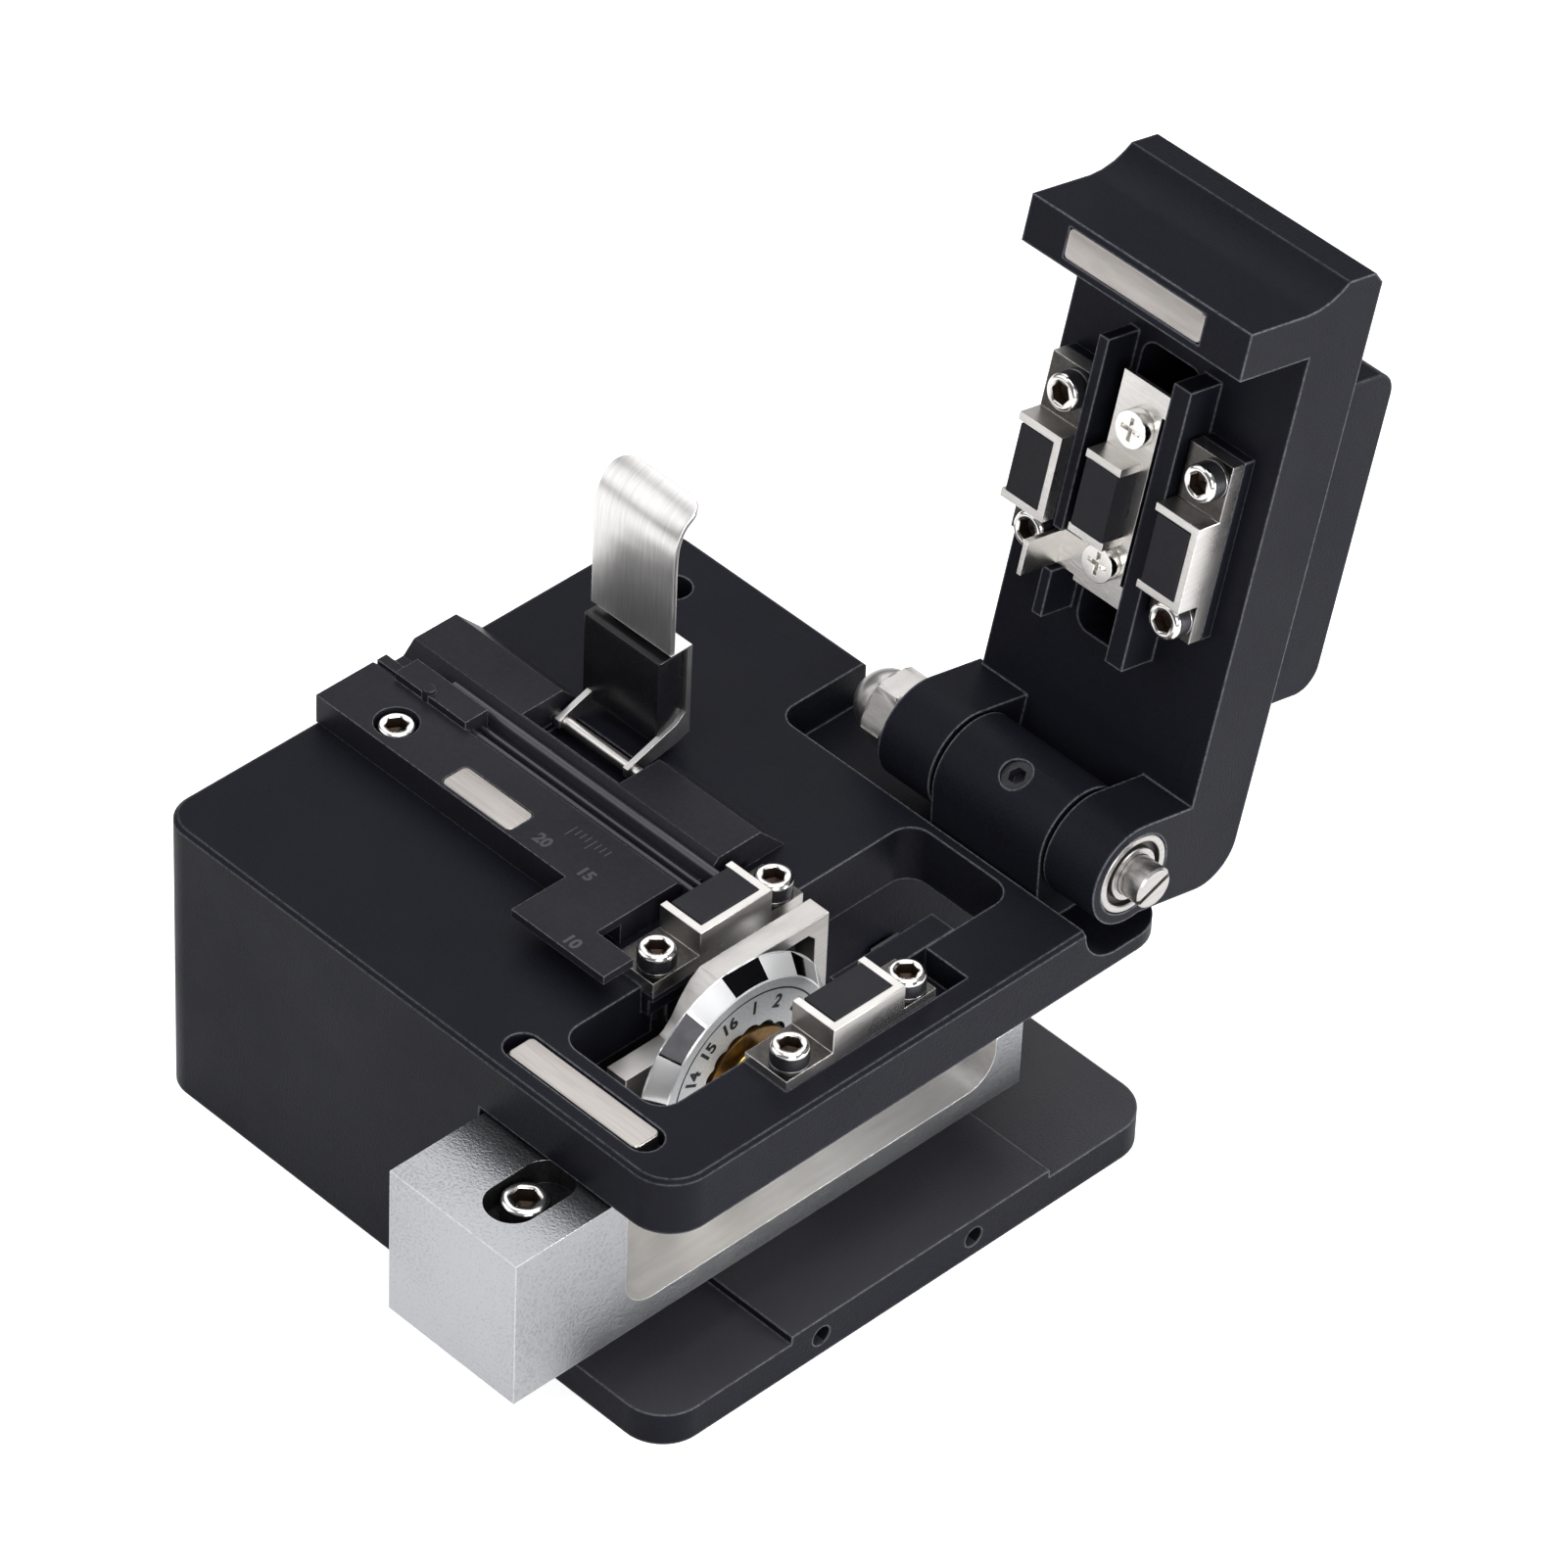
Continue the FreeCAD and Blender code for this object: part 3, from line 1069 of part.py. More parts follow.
def upper_clamps():
    face = upper_seat
    for label, start in (("upper_base_left", left_clamp), ("upper_base_right", right_clamp)):
        body = on_lid(piece(label))
        box(body, "block", (start, start + dim.clamp_width), (clamp_low - hinge_y, clamp_high - hinge_y),
            (face, dim.lid_inner))
        for screw_y in (screw_y_low, screw_y_high):
            rod(body, "screw_hole", "z", (start + dim.clamp_width - dim.screw_inset, screw_y - hinge_y, face - 1),
                dim.lid_inner - face + 2, dim.screw_shank_radius, cut=True)
    on_lid(retainer("upper_retainer_left", left_clamp, face, -1, hinge_y))
    on_lid(retainer("upper_retainer_right", right_clamp, face, -1, hinge_y))
    on_lid(pad("upper_pad_left", left_clamp, face, -1, hinge_y))
    on_lid(pad("upper_pad_right", right_clamp, face, -1, hinge_y))
    for fasteners in clamp_screws("upper_clamp", face, -1, hinge_y):
        on_lid(fasteners)


def anvil():
    body = on_lid(piece("anvil_carrier"))
    start = anvil_left
    level = dim.anvil_level
    pad_low = fibre_local - dim.anvil_pad_length / 2 - dim.clamp_wall
    pad_high = pad_low + dim.anvil_pad_length
    screw_spots = (pad_low - dim.clamp_wall - dim.anvil_screw_front,
                   pad_high + dim.clamp_wall + dim.anvil_screw_rear)
    low = screw_spots[0] - dim.anvil_front_margin
    high = screw_spots[1] + dim.anvil_rear_margin
    sheet_zs = (level, level + dim.anvil_sheet)
    box(body, "plate", (start, start + dim.anvil_width), (low, high), sheet_zs)
    box(body, "front_tab", (start, start + dim.anvil_tab_width), (low, low + dim.anvil_tab_length), sheet_zs)
    box(body, "rear_tab", (start, start + dim.anvil_tab_width), (high - dim.anvil_tab_length, high), sheet_zs)
    for name, wall in (("front_wall", pad_low - dim.clamp_wall), ("rear_wall", pad_high)):
        box(body, name, (start, start + dim.anvil_pad_width + 0.4), (wall, wall + dim.clamp_wall),
            (fibre_level + dim.anvil_wall_lift, level))
    for spot in screw_spots:
        rod(body, "screw_hole", "z", (anvil_screw_x, spot, level - 1), 3, dim.screw_shank_radius, cut=True)
    finger_y = (fibre_local + dim.finger_behind - dim.finger_length, fibre_local + dim.finger_behind)
    finger_x = left_bar + dim.finger_gap
    box(body, "finger_arm", (finger_x, start + 1), finger_y, sheet_zs)
    box(body, "finger", (finger_x, finger_x + dim.anvil_sheet), finger_y, (-dim.finger_drop, level + 0.1))
    body = on_lid(piece("anvil_pad"))
    box(body, "block", (start + 0.3, start + 0.3 + dim.anvil_pad_width), (pad_low, pad_high),
        (fibre_level + dim.anvil_lift, level))
    screws = []
    for spot in screw_spots:
        head = solid("Cylinder", "anvil_screw_head", (anvil_screw_x, spot, level - dim.anvil_screw_head),
                     Radius=dim.screw_head_radius, Height=dim.anvil_screw_head)
        stem = solid("Cylinder", "anvil_screw_shank", (anvil_screw_x, spot, level),
                     Radius=dim.screw_shank_radius, Height=3)
        whole = combine("Fuse", "anvil_screw_whole", head, stem)
        for turn in (0, 90):
            long_side, short_side = (2.2, 0.4) if turn == 0 else (0.4, 2.2)
            cross = solid("Box", "anvil_screw_cross", (anvil_screw_x - long_side / 2, spot - short_side / 2, level - dim.anvil_screw_head),
                          Length=long_side, Width=short_side, Height=0.6)
            whole = combine("Cut", "anvil_screw_cut", whole, cross)
        screws.append(whole)
    on_lid(group("anvil_screws", screws))
    posts = []
    guide = on_lid(piece("anvil_guide"))
    middle = fibre_local - dim.clamp_wall
    box(guide, "block", (channel_left + 0.05, channel_left + dim.channel_width - 0.05),
        (middle - dim.post_guide_length / 2, middle + dim.post_guide_length / 2),
        (dim.lid_outer - dim.post_guide_height, dim.lid_outer))
    for end in (-1, 1):
        spot = (start + dim.anvil_width / 2, middle + end * dim.post_pitch / 2, level + dim.anvil_sheet)
        posts.append(solid("Cylinder", "post", spot, Radius=dim.anvil_post_radius, Height=dim.anvil_post_length))
        rod(guide, "bore", "z", (spot[0], spot[1], dim.lid_outer - dim.post_guide_height - 1),
            dim.post_guide_height + 2, dim.anvil_post_radius + dim.running_fit, cut=True)
    on_lid(group("anvil_posts", posts))


def hinge_bearings():
    for label, start in (("hinge_bearing_left", left_knuckle_left),
                         ("hinge_bearing_right", lid_right - dim.bearing_length)):
        body = on_lid(piece(label))
        rod(body, "ring", "x", (start, 0, 0), dim.bearing_length, dim.bearing_radius)
        rod(body, "bore", "x", (start - 1, 0, 0), dim.bearing_length + 2, dim.shaft_radius + dim.running_fit, cut=True)


def check_document():
    for thing in doc.Objects:
        if "Invalid" in thing.State or "Error" in thing.State:
            raise RuntimeError("%s did not compute: %s" % (thing.Name, thing.State))
    for thing in PIECES:
        if thing.Shape.isNull() or not thing.Shape.isValid():
            raise RuntimeError("%s has no valid shape" % thing.Label)


def write_parts():
    os.makedirs("parts", exist_ok=True)
    for thing in PIECES:
        thing.Shape.exportStep("parts/%s.step" % thing.Label)
        bounds = thing.Shape.BoundBox
        print("%-22s %2d solids %9.2f mm3  X %6.2f %6.2f  Y %6.2f %6.2f  Z %6.2f %6.2f" % (
            thing.Label, len(thing.Shape.Solids), thing.Shape.Volume, bounds.XMin, bounds.XMax,
            bounds.YMin, bounds.YMax, bounds.ZMin, bounds.ZMax))


body_frame()
deck_magnet()
guide_plate()
guide_trim()
lever()
lower_clamps()
slider()
linear_rail()
blade_bracket()
blade()
hinge_shaft()
lid_frame()
lid_cover()
upper_clamps()
anvil()
hinge_bearings()
doc.recompute()
check_document()
write_parts()
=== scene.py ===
import json
import bpy
import bmesh
import numpy as np
from mathutils import Matrix, Vector

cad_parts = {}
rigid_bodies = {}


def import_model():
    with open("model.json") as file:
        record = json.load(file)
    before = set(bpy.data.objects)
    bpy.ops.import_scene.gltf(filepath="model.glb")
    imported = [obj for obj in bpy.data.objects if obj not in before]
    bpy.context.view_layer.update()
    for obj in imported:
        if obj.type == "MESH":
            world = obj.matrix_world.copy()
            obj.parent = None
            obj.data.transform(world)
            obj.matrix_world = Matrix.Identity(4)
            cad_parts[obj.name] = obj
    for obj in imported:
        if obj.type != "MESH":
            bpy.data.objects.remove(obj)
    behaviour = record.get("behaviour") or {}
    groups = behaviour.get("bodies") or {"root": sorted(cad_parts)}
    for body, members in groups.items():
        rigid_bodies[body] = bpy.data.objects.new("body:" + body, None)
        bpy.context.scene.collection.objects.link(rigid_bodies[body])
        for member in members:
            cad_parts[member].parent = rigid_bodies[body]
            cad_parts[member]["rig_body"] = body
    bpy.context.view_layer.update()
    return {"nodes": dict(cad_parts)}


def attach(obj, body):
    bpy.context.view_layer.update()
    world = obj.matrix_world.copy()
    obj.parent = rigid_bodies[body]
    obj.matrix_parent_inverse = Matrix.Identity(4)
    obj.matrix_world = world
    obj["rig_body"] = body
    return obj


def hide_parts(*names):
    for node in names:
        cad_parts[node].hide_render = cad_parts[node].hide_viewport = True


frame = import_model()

nodes = frame["nodes"]
mm = 0.001  # Blender's points are in metres, the sizes below in millimetres
mergeReach = 1e-6  # corners closer than this, in metres, are one
hingeAxis = (24.84, 34.26)  # Y and Z of the lid's hinge
bladeAxis = (-9.2, 23.45)  # Y and Z of the blade's axle
lidAngle = np.radians(102.9)
# columns carry the lid's own X, Y, Z as it stands open
lidAxes = np.array([[1, 0, 0], [0, np.cos(lidAngle), -np.sin(lidAngle)],
                    [0, np.sin(lidAngle), np.cos(lidAngle)]]).T
print("frame loaded:", len(nodes), "nodes")


# shader helpers and shared effects

mixFirst, mixSecond, mixOut = 6, 7, 2  # the colour sockets of a Mix node


def addNode(tree, kind, spot=(0, 0), **values):
    # sets each value as a property where the node has one of that name, or else as a socket
    node = tree.nodes.new(kind)
    node.location = spot
    for name, value in values.items():
        if hasattr(node, name):
            setattr(node, name, value)
        else:
            node.inputs[name.replace("_", " ")].default_value = value
    return node


def newGroup(name, inputs, outputs):
    # an empty node group with its named sockets
    group = bpy.data.node_groups.new(name, "ShaderNodeTree")
    for label, kind, value in inputs:
        socket = group.interface.new_socket(label, in_out="INPUT", socket_type=kind)
        if value is not None:
            socket.default_value = value
    for label, kind in outputs:
        group.interface.new_socket(label, in_out="OUTPUT", socket_type=kind)
    return group, addNode(group, "NodeGroupInput", (-900, 0)), addNode(group, "NodeGroupOutput", (600, 0))


def makeBlastGrain():
    # fine pits of bead blasting: two sizes of noise, one as a bump and one as a shade
    group, given, out = newGroup("blastGrain", [
        ("Grains", "NodeSocketFloat", 5000.0), ("Depth", "NodeSocketFloat", 0.3), ("Contrast", "NodeSocketFloat", 1.0),
    ], [("Shade", "NodeSocketFloat"), ("Normal", "NodeSocketVector")])
    link = group.links.new
    place = addNode(group, "ShaderNodeTexCoord", (-900, -300))
    fine = addNode(group, "ShaderNodeTexNoise", (-600, 0), Detail=2.0, Roughness=0.6)
    broad = addNode(group, "ShaderNodeTexNoise", (-600, -300), Scale=90.0, Detail=3.0)
    bump = addNode(group, "ShaderNodeBump", (200, -200), Distance=0.00004)
    stretch = addNode(group, "ShaderNodeMapRange", (-300, 0))
    stretch.inputs["From Min"].default_value = 0.3
    stretch.inputs["From Max"].default_value = 0.7
    mix = addNode(group, "ShaderNodeMath", (0, 100), operation="MULTIPLY_ADD")
    link(place.outputs["Object"], fine.inputs["Vector"])
    link(place.outputs["Object"], broad.inputs["Vector"])
    link(given.outputs["Grains"], fine.inputs["Scale"])
    link(fine.outputs["Fac"], stretch.inputs["Value"])
    link(stretch.outputs["Result"], mix.inputs[0])
    link(given.outputs["Contrast"], mix.inputs[1])
    link(broad.outputs["Fac"], mix.inputs[2])
    link(mix.outputs["Value"], out.inputs["Shade"])
    link(fine.outputs["Fac"], bump.inputs["Height"])
    link(given.outputs["Depth"], bump.inputs["Strength"])
    link(bump.outputs["Normal"], out.inputs["Normal"])
    return group


def makeBrushedLines():
    # hairlines: noise squeezed across one direction of the piece
    group, given, out = newGroup("brushedLines", [
        ("Squeeze", "NodeSocketVector", (300.0, 300.0, 9000.0)), ("Depth", "NodeSocketFloat", 0.3),
    ], [("Shade", "NodeSocketFloat"), ("Normal", "NodeSocketVector")])
    link = group.links.new
    place = addNode(group, "ShaderNodeTexCoord", (-900, -300))
    squeeze = addNode(group, "ShaderNodeVectorMath", (-650, -100), operation="MULTIPLY")
    lines = addNode(group, "ShaderNodeTexNoise", (-400, 0), Scale=1.0, Detail=3.0, Roughness=0.55)
    bump = addNode(group, "ShaderNodeBump", (200, -200), Distance=0.00003)
    link(place.outputs["Object"], squeeze.inputs[0])
    link(given.outputs["Squeeze"], squeeze.inputs[1])
    link(squeeze.outputs["Vector"], lines.inputs["Vector"])
    link(lines.outputs["Fac"], out.inputs["Shade"])
    link(lines.outputs["Fac"], bump.inputs["Height"])
    link(given.outputs["Depth"], bump.inputs["Strength"])
    link(bump.outputs["Normal"], out.inputs["Normal"])
    return group


def makeHandling():
    # soft smudges left by fingers, as a mask
    group, given, out = newGroup("handlingMarks", [("Size", "NodeSocketFloat", 60.0)], [("Mask", "NodeSocketFloat")])
    link = group.links.new
    place = addNode(group, "ShaderNodeTexCoord", (-900, -300))
    noise = addNode(group, "ShaderNodeTexNoise", (-600, 0), Detail=4.0, Roughness=0.65)
    spread = addNode(group, "ShaderNodeMapRange", (-200, 0))
    spread.inputs["From Min"].default_value = 0.42
    spread.inputs["From Max"].default_value = 0.68
    link(place.outputs["Object"], noise.inputs["Vector"])
    link(given.outputs["Size"], noise.inputs["Scale"])
    link(noise.outputs["Fac"], spread.inputs["Value"])
    link(spread.outputs["Result"], out.inputs["Mask"])
    return group


def makeEdgeMask():
    # one minus the dot product of the rounded and the flat normal, broken up by grain
    group, given, out = newGroup("wornEdgesAndHighlight", [("Width", "NodeSocketFloat", 0.0002)], [("Mask", "NodeSocketFloat")])
    link = group.links.new
    rounded = addNode(group, "ShaderNodeBevel", (-700, 0))
    rounded.samples = 4
    flat = addNode(group, "ShaderNodeNewGeometry", (-700, -200))
    dot = addNode(group, "ShaderNodeVectorMath", (-500, 0), operation="DOT_PRODUCT")
    spread = addNode(group, "ShaderNodeMapRange", (-300, 0))
    spread.inputs["From Min"].default_value = 0.995
    spread.inputs["From Max"].default_value = 0.78
    place = addNode(group, "ShaderNodeTexCoord", (-900, -400))
    grain = addNode(group, "ShaderNodeTexNoise", (-700, -400), Scale=2600.0, Detail=2.0)
    breakUp = addNode(group, "ShaderNodeMapRange", (-300, -300))
    breakUp.inputs["From Min"].default_value = 0.12
    breakUp.inputs["From Max"].default_value = 0.55
    together = addNode(group, "ShaderNodeMath", (0, 0), operation="MULTIPLY")
    link(given.outputs["Width"], rounded.inputs["Radius"])
    link(rounded.outputs["Normal"], dot.inputs[0])
    link(flat.outputs["Normal"], dot.inputs[1])
    link(dot.outputs["Value"], spread.inputs["Value"])
    link(place.outputs["Object"], grain.inputs["Vector"])
    link(grain.outputs["Fac"], breakUp.inputs["Value"])
    link(spread.outputs["Result"], together.inputs[0])
    link(breakUp.outputs["Result"], together.inputs[1])
    link(together.outputs["Value"], out.inputs["Mask"])
    return group


effects = {"grain": makeBlastGrain(), "lines": makeBrushedLines(), "marks": makeHandling(), "edges": makeEdgeMask()}

# where a finish gives an edge colour, its broken edges are painted in it: partly wear, partly painted highlight
finishes = {
    "blackAnodised": dict(effect="grain", Grains=4600.0, Depth=0.9, Contrast=1.2, dark=(0.0036, 0.0038, 0.0060),
                          light=(0.0090, 0.0094, 0.0140), metallic=0.0, rough=(0.38, 0.48), shine=0.065,
                          edge=(0.19, 0.195, 0.215), edgeWidth=0.00034),
    "baseBlackPaintedLight": dict(effect="grain", Grains=4600.0, Depth=0.9, Contrast=1.2, dark=(0.020, 0.020, 0.025),
                      light=(0.040, 0.040, 0.047), metallic=0.0, rough=(0.42, 0.52), shine=0.3,
                      edge=(0.19, 0.195, 0.215), edgeWidth=0.00034),
    "shadedNickel": dict(effect="grain", Grains=1800.0, Depth=0.05, Contrast=0.5, dark=(0.030, 0.028, 0.026),
                         light=(0.085, 0.080, 0.075), metallic=1.0, rough=(0.24, 0.34),
                         edge=(0.92, 0.90, 0.86), edgeWidth=0.00016),
    "blastedSilver": dict(effect="grain", Grains=3600.0, Depth=1.0, Contrast=1.0, dark=(0.23, 0.235, 0.245),
                          light=(0.40, 0.405, 0.42), metallic=1.0, rough=(0.28, 0.36), shine=0.5,
                          edge=(0.80, 0.80, 0.81), edgeWidth=0.0002),
    "nickelSheet": dict(effect="lines", Squeeze=(900.0, 260.0, 5000.0), Depth=0.25, dark=(0.56, 0.54, 0.515),
                        light=(0.78, 0.76, 0.735), metallic=1.0, rough=(0.27, 0.38)),
    "bracketNickel": dict(effect="lines", Squeeze=(900.0, 260.0, 5000.0), Depth=0.25, dark=(0.40, 0.385, 0.37),
                          light=(0.60, 0.58, 0.56), metallic=1.0, rough=(0.32, 0.42)),
    "brightNickel": dict(effect="grain", Grains=1800.0, Depth=0.01, Contrast=0.4, dark=(0.64, 0.615, 0.58),
                         light=(0.88, 0.86, 0.83), metallic=1.0, rough=(0.13, 0.20)),
    "magnetNickel": dict(effect="lines", Squeeze=(220.0, 5200.0, 900.0), Depth=0.45, dark=(0.33, 0.305, 0.285),
                         light=(0.52, 0.49, 0.465), metallic=1.0, rough=(0.30, 0.46)),
    "bladeSteel": dict(effect="grain", Grains=3600.0, Depth=0.2, Contrast=0.6, dark=(0.55, 0.56, 0.57),
                       light=(0.74, 0.75, 0.76), metallic=0.75, rough=(0.30, 0.42)),
    "paintedHighlightSteel": dict(effect="grain", Grains=900.0, Depth=0.02, Contrast=0.3, dark=(0.85, 0.85, 0.85),
                          light=(0.95, 0.95, 0.95), metallic=0.4, rough=(0.22, 0.30)),
    "turnedBrass": dict(effect="lines", Squeeze=(7000.0, 500.0, 500.0), Depth=0.3, dark=(0.62, 0.36, 0.05),
                        light=(0.95, 0.66, 0.18), metallic=1.0, rough=(0.20, 0.32)),
    "blackRubber": dict(effect="grain", Grains=3000.0, Depth=0.25, Contrast=0.4, dark=(0.010, 0.010, 0.013),
                        light=(0.018, 0.018, 0.022), metallic=0.0, rough=(0.62, 0.75), shine=0.25),
    "blackPlastic": dict(effect="grain", Grains=2600.0, Depth=0.22, Contrast=0.4, dark=(0.009, 0.009, 0.012),
                         light=(0.018, 0.018, 0.023), metallic=0.0, rough=(0.36, 0.46), shine=0.10,
                         edge=(0.20, 0.20, 0.22), edgeWidth=0.00018),
    "leverSteel": dict(effect="lines", Squeeze=(5200.0, 400.0, 260.0), Depth=0.22, dark=(0.58, 0.56, 0.54),
                       light=(0.96, 0.945, 0.93), metallic=1.0, rough=(0.30, 0.40)),
    "railSteel": dict(effect="lines", Squeeze=(3000.0, 240.0, 3000.0), Depth=0.2, dark=(0.30, 0.30, 0.31),
                      light=(0.46, 0.46, 0.47), metallic=1.0, rough=(0.24, 0.36)),
    "socketShade": dict(effect="grain", Grains=3000.0, Depth=0.1, Contrast=0.4, dark=(0.020, 0.013, 0.009),
                        light=(0.055, 0.034, 0.022), metallic=0.6, rough=(0.35, 0.5), shine=0.3),
    "dialSatin": dict(effect="grain", Grains=3600.0, Depth=0.25, Contrast=0.7, dark=(0.46, 0.47, 0.48),
                      light=(0.66, 0.67, 0.68), metallic=0.45, rough=(0.36, 0.46)),
    "paintedDarkFacet": dict(effect="grain", Grains=900.0, Depth=0.03, Contrast=0.3, dark=(0.012, 0.012, 0.013),
                      light=(0.03, 0.03, 0.032), metallic=1.0, rough=(0.08, 0.14)),
    "grooveShade": dict(effect="grain", Grains=900.0, Depth=0.03, Contrast=0.3, dark=(0.03, 0.028, 0.025),
                        light=(0.06, 0.055, 0.05), metallic=0.5, rough=(0.4, 0.5)),
    "glossPlastic": dict(effect="grain", Grains=1400.0, Depth=0.12, Contrast=0.3, dark=(0.020, 0.020, 0.026),
                         light=(0.034, 0.034, 0.042), metallic=0.0, rough=(0.22, 0.32), shine=0.6),
    "brushedSilverPaintedReflection": dict(effect="lines", Squeeze=(1200.0, 170.0, 4200.0), Depth=0.3, dark=(0.72, 0.70, 0.67),
                          light=(0.96, 0.94, 0.91), metallic=0.8, rough=(0.40, 0.52)),
    "bronzeShade": dict(effect="grain", Grains=1600.0, Depth=0.05, Contrast=0.5, dark=(0.060, 0.029, 0.008),
                        light=(0.210, 0.115, 0.034), metallic=0.8, rough=(0.30, 0.42)),
    "pocketShade": dict(effect="grain", Grains=2600.0, Depth=0.3, Contrast=0.6, dark=(0.020, 0.020, 0.022),
                        light=(0.070, 0.070, 0.075), metallic=0.8, rough=(0.30, 0.42)),
    "leverRubber": dict(effect="grain", Grains=2600.0, Depth=0.15, Contrast=0.4, dark=(0.004, 0.004, 0.005),
                        light=(0.008, 0.008, 0.010), metallic=0.0, rough=(0.24, 0.34), shine=0.35,
                        edge=(0.05, 0.05, 0.055), edgeWidth=0.00018),
    "darkSteelAndReflection": dict(effect="grain", Grains=2600.0, Depth=0.2, Contrast=0.5, dark=(0.020, 0.020, 0.024),
                      light=(0.05, 0.05, 0.056), metallic=0.7, rough=(0.28, 0.4)),
    "scaleInk": dict(effect="grain", Grains=3000.0, Depth=0.05, Contrast=0.3, dark=(0.006, 0.006, 0.006),
                     light=(0.012, 0.012, 0.012), metallic=0.0, rough=(0.5, 0.6), shine=0.3),
    "guideInk": dict(effect="grain", Grains=3000.0, Depth=0.05, Contrast=0.3, dark=(0.030, 0.030, 0.034),
                     light=(0.045, 0.045, 0.050), metallic=0.0, rough=(0.5, 0.6)),
}


smudgeSize = 55.0


def makeMaterial(name, finish):
    # colour is dark plus the effect's shade times light minus dark; roughness follows the smudges the same way
    material = bpy.data.materials.new(name)
    material.use_nodes = True
    tree = material.node_tree
    link = tree.links.new
    shader = tree.nodes["Principled BSDF"]
    shader.inputs["Metallic"].default_value = finish["metallic"]
    effect = addNode(tree, "ShaderNodeGroup", (-700, 0))
    effect.node_tree = effects[finish["effect"]]
    for label in ("Grains", "Depth", "Contrast", "Squeeze"):
        if label in finish:
            effect.inputs[label].default_value = finish[label]
    marks = addNode(tree, "ShaderNodeGroup", (-700, -300))
    marks.node_tree = effects["marks"]
    marks.inputs["Size"].default_value = smudgeSize
    colour = addNode(tree, "ShaderNodeMix", (-350, 150), data_type="RGBA")
    colour.inputs[mixFirst].default_value = (*finish["dark"], 1)
    colour.inputs[mixSecond].default_value = (*finish["light"], 1)
    rough = addNode(tree, "ShaderNodeMapRange", (-350, -200))
    rough.inputs["To Min"].default_value, rough.inputs["To Max"].default_value = finish["rough"]
    link(effect.outputs["Shade"], colour.inputs["Factor"])
    link(colour.outputs[mixOut], shader.inputs["Base Color"])
    link(marks.outputs["Mask"], rough.inputs["Value"])
    link(rough.outputs["Result"], shader.inputs["Roughness"])
    link(effect.outputs["Normal"], shader.inputs["Normal"])
    shader.inputs["Specular IOR Level"].default_value = finish.get("shine", 0.5)
    if "edge" in finish:
        # edges painted lighter, partly as wear and partly as painted highlight: the bevelled normal leans away from
        # the flat one there
        lean = addNode(tree, "ShaderNodeGroup", (-700, 500))
        lean.node_tree = effects["edges"]
        lean.inputs["Width"].default_value = finish["edgeWidth"]
        wearAndHighlight = addNode(tree, "ShaderNodeMix", (-100, 300), data_type="RGBA")
        wearAndHighlight.inputs[mixSecond].default_value = (*finish["edge"], 1)
        link(lean.outputs["Mask"], wearAndHighlight.inputs["Factor"])
        link(colour.outputs[mixOut], wearAndHighlight.inputs[mixFirst])
        link(wearAndHighlight.outputs[mixOut], shader.inputs["Base Color"])
    return material


materials = {name: makeMaterial(name, finish) for name, finish in finishes.items()}
print("materials:", len(materials))


# mesh helpers

def place(piece, finish, body, replaced=(), others=()):
    # the first finish covers the piece; faces marked 1, 2 ... take the others
    piece.data.materials.clear()
    for name in (finish, *others):
        piece.data.materials.append(materials[name])
    if replaced:
        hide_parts(*replaced)
    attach(piece, body)
    return piece


def pieceFrom(name, points, faces):
    # a new object from points in metres and the corners of each face
    mesh = bpy.data.meshes.new(name)
    mesh.from_pydata(np.asarray(points, float).reshape(-1, 3).tolist(), [], faces)
    mesh.validate()
    mesh.update()
    piece = bpy.data.objects.new(name, mesh)
    bpy.context.scene.collection.objects.link(piece)
    return piece


def smoothByAngle(mesh, degrees):
    # edges sharper than the angle stay hard
    work = bmesh.new()
    work.from_mesh(mesh)
    limit = np.radians(degrees)
    for face in work.faces:
        face.smooth = True
    for edge in work.edges:
        edge.smooth = bool(len(edge.link_faces) == 2 and edge.calc_face_angle(0.0) < limit)
    work.to_mesh(mesh)
    work.free()


def ringedFaces(rings, around):
    # quads between neighbouring rings, the last ring joined to the first
    row = np.arange(rings)[:, None]
    column = np.arange(around)[None, :]
    following = (column + 1) % around
    here, there = row * around, ((row + 1) % rings) * around
    quads = np.stack([here + column, here + following, there + following, there + column], -1)
    return quads.reshape(-1, 4).tolist()


def markFaces(piece, marks):
    # one material index for each face; comes after place, which resets them
    piece.data.polygons.foreach_set("material_index", np.asarray(marks, np.int32))
    piece.data.update()


def islandsOf(node):
    # the separate solids of a node, each as its own array of points in millimetres
    work = bmesh.new()
    work.from_mesh(nodes[node].data)
    bmesh.ops.remove_doubles(work, verts=work.verts, dist=mergeReach)
    left = set(work.verts)
    found = []
    while left:
        queue = [left.pop()]
        points = []
        while queue:
            vert = queue.pop()
            points.append(vert.co[:])
            beside = {edge.other_vert(vert) for edge in vert.link_edges} & left
            left -= beside
            queue.extend(beside)
        found.append(np.array(points) / mm)
    work.free()
    return sorted(found, key=lambda points: tuple(points.mean(0).round(3)))


def gridFaces(rings, around):
    # quads between neighbouring rings of a closed grid, with a fan face at each end
    row = np.arange(rings - 1)[:, None] * around
    column = np.arange(around)[None, :]
    following = (column + 1) % around
    quads = np.stack([row + column, row + following, row + around + following, row + around + column], -1)
    faces = quads.reshape(-1, 4).tolist()
    faces.append(list(range(around))[::-1])
    faces.append(list(range((rings - 1) * around, rings * around)))
    return faces


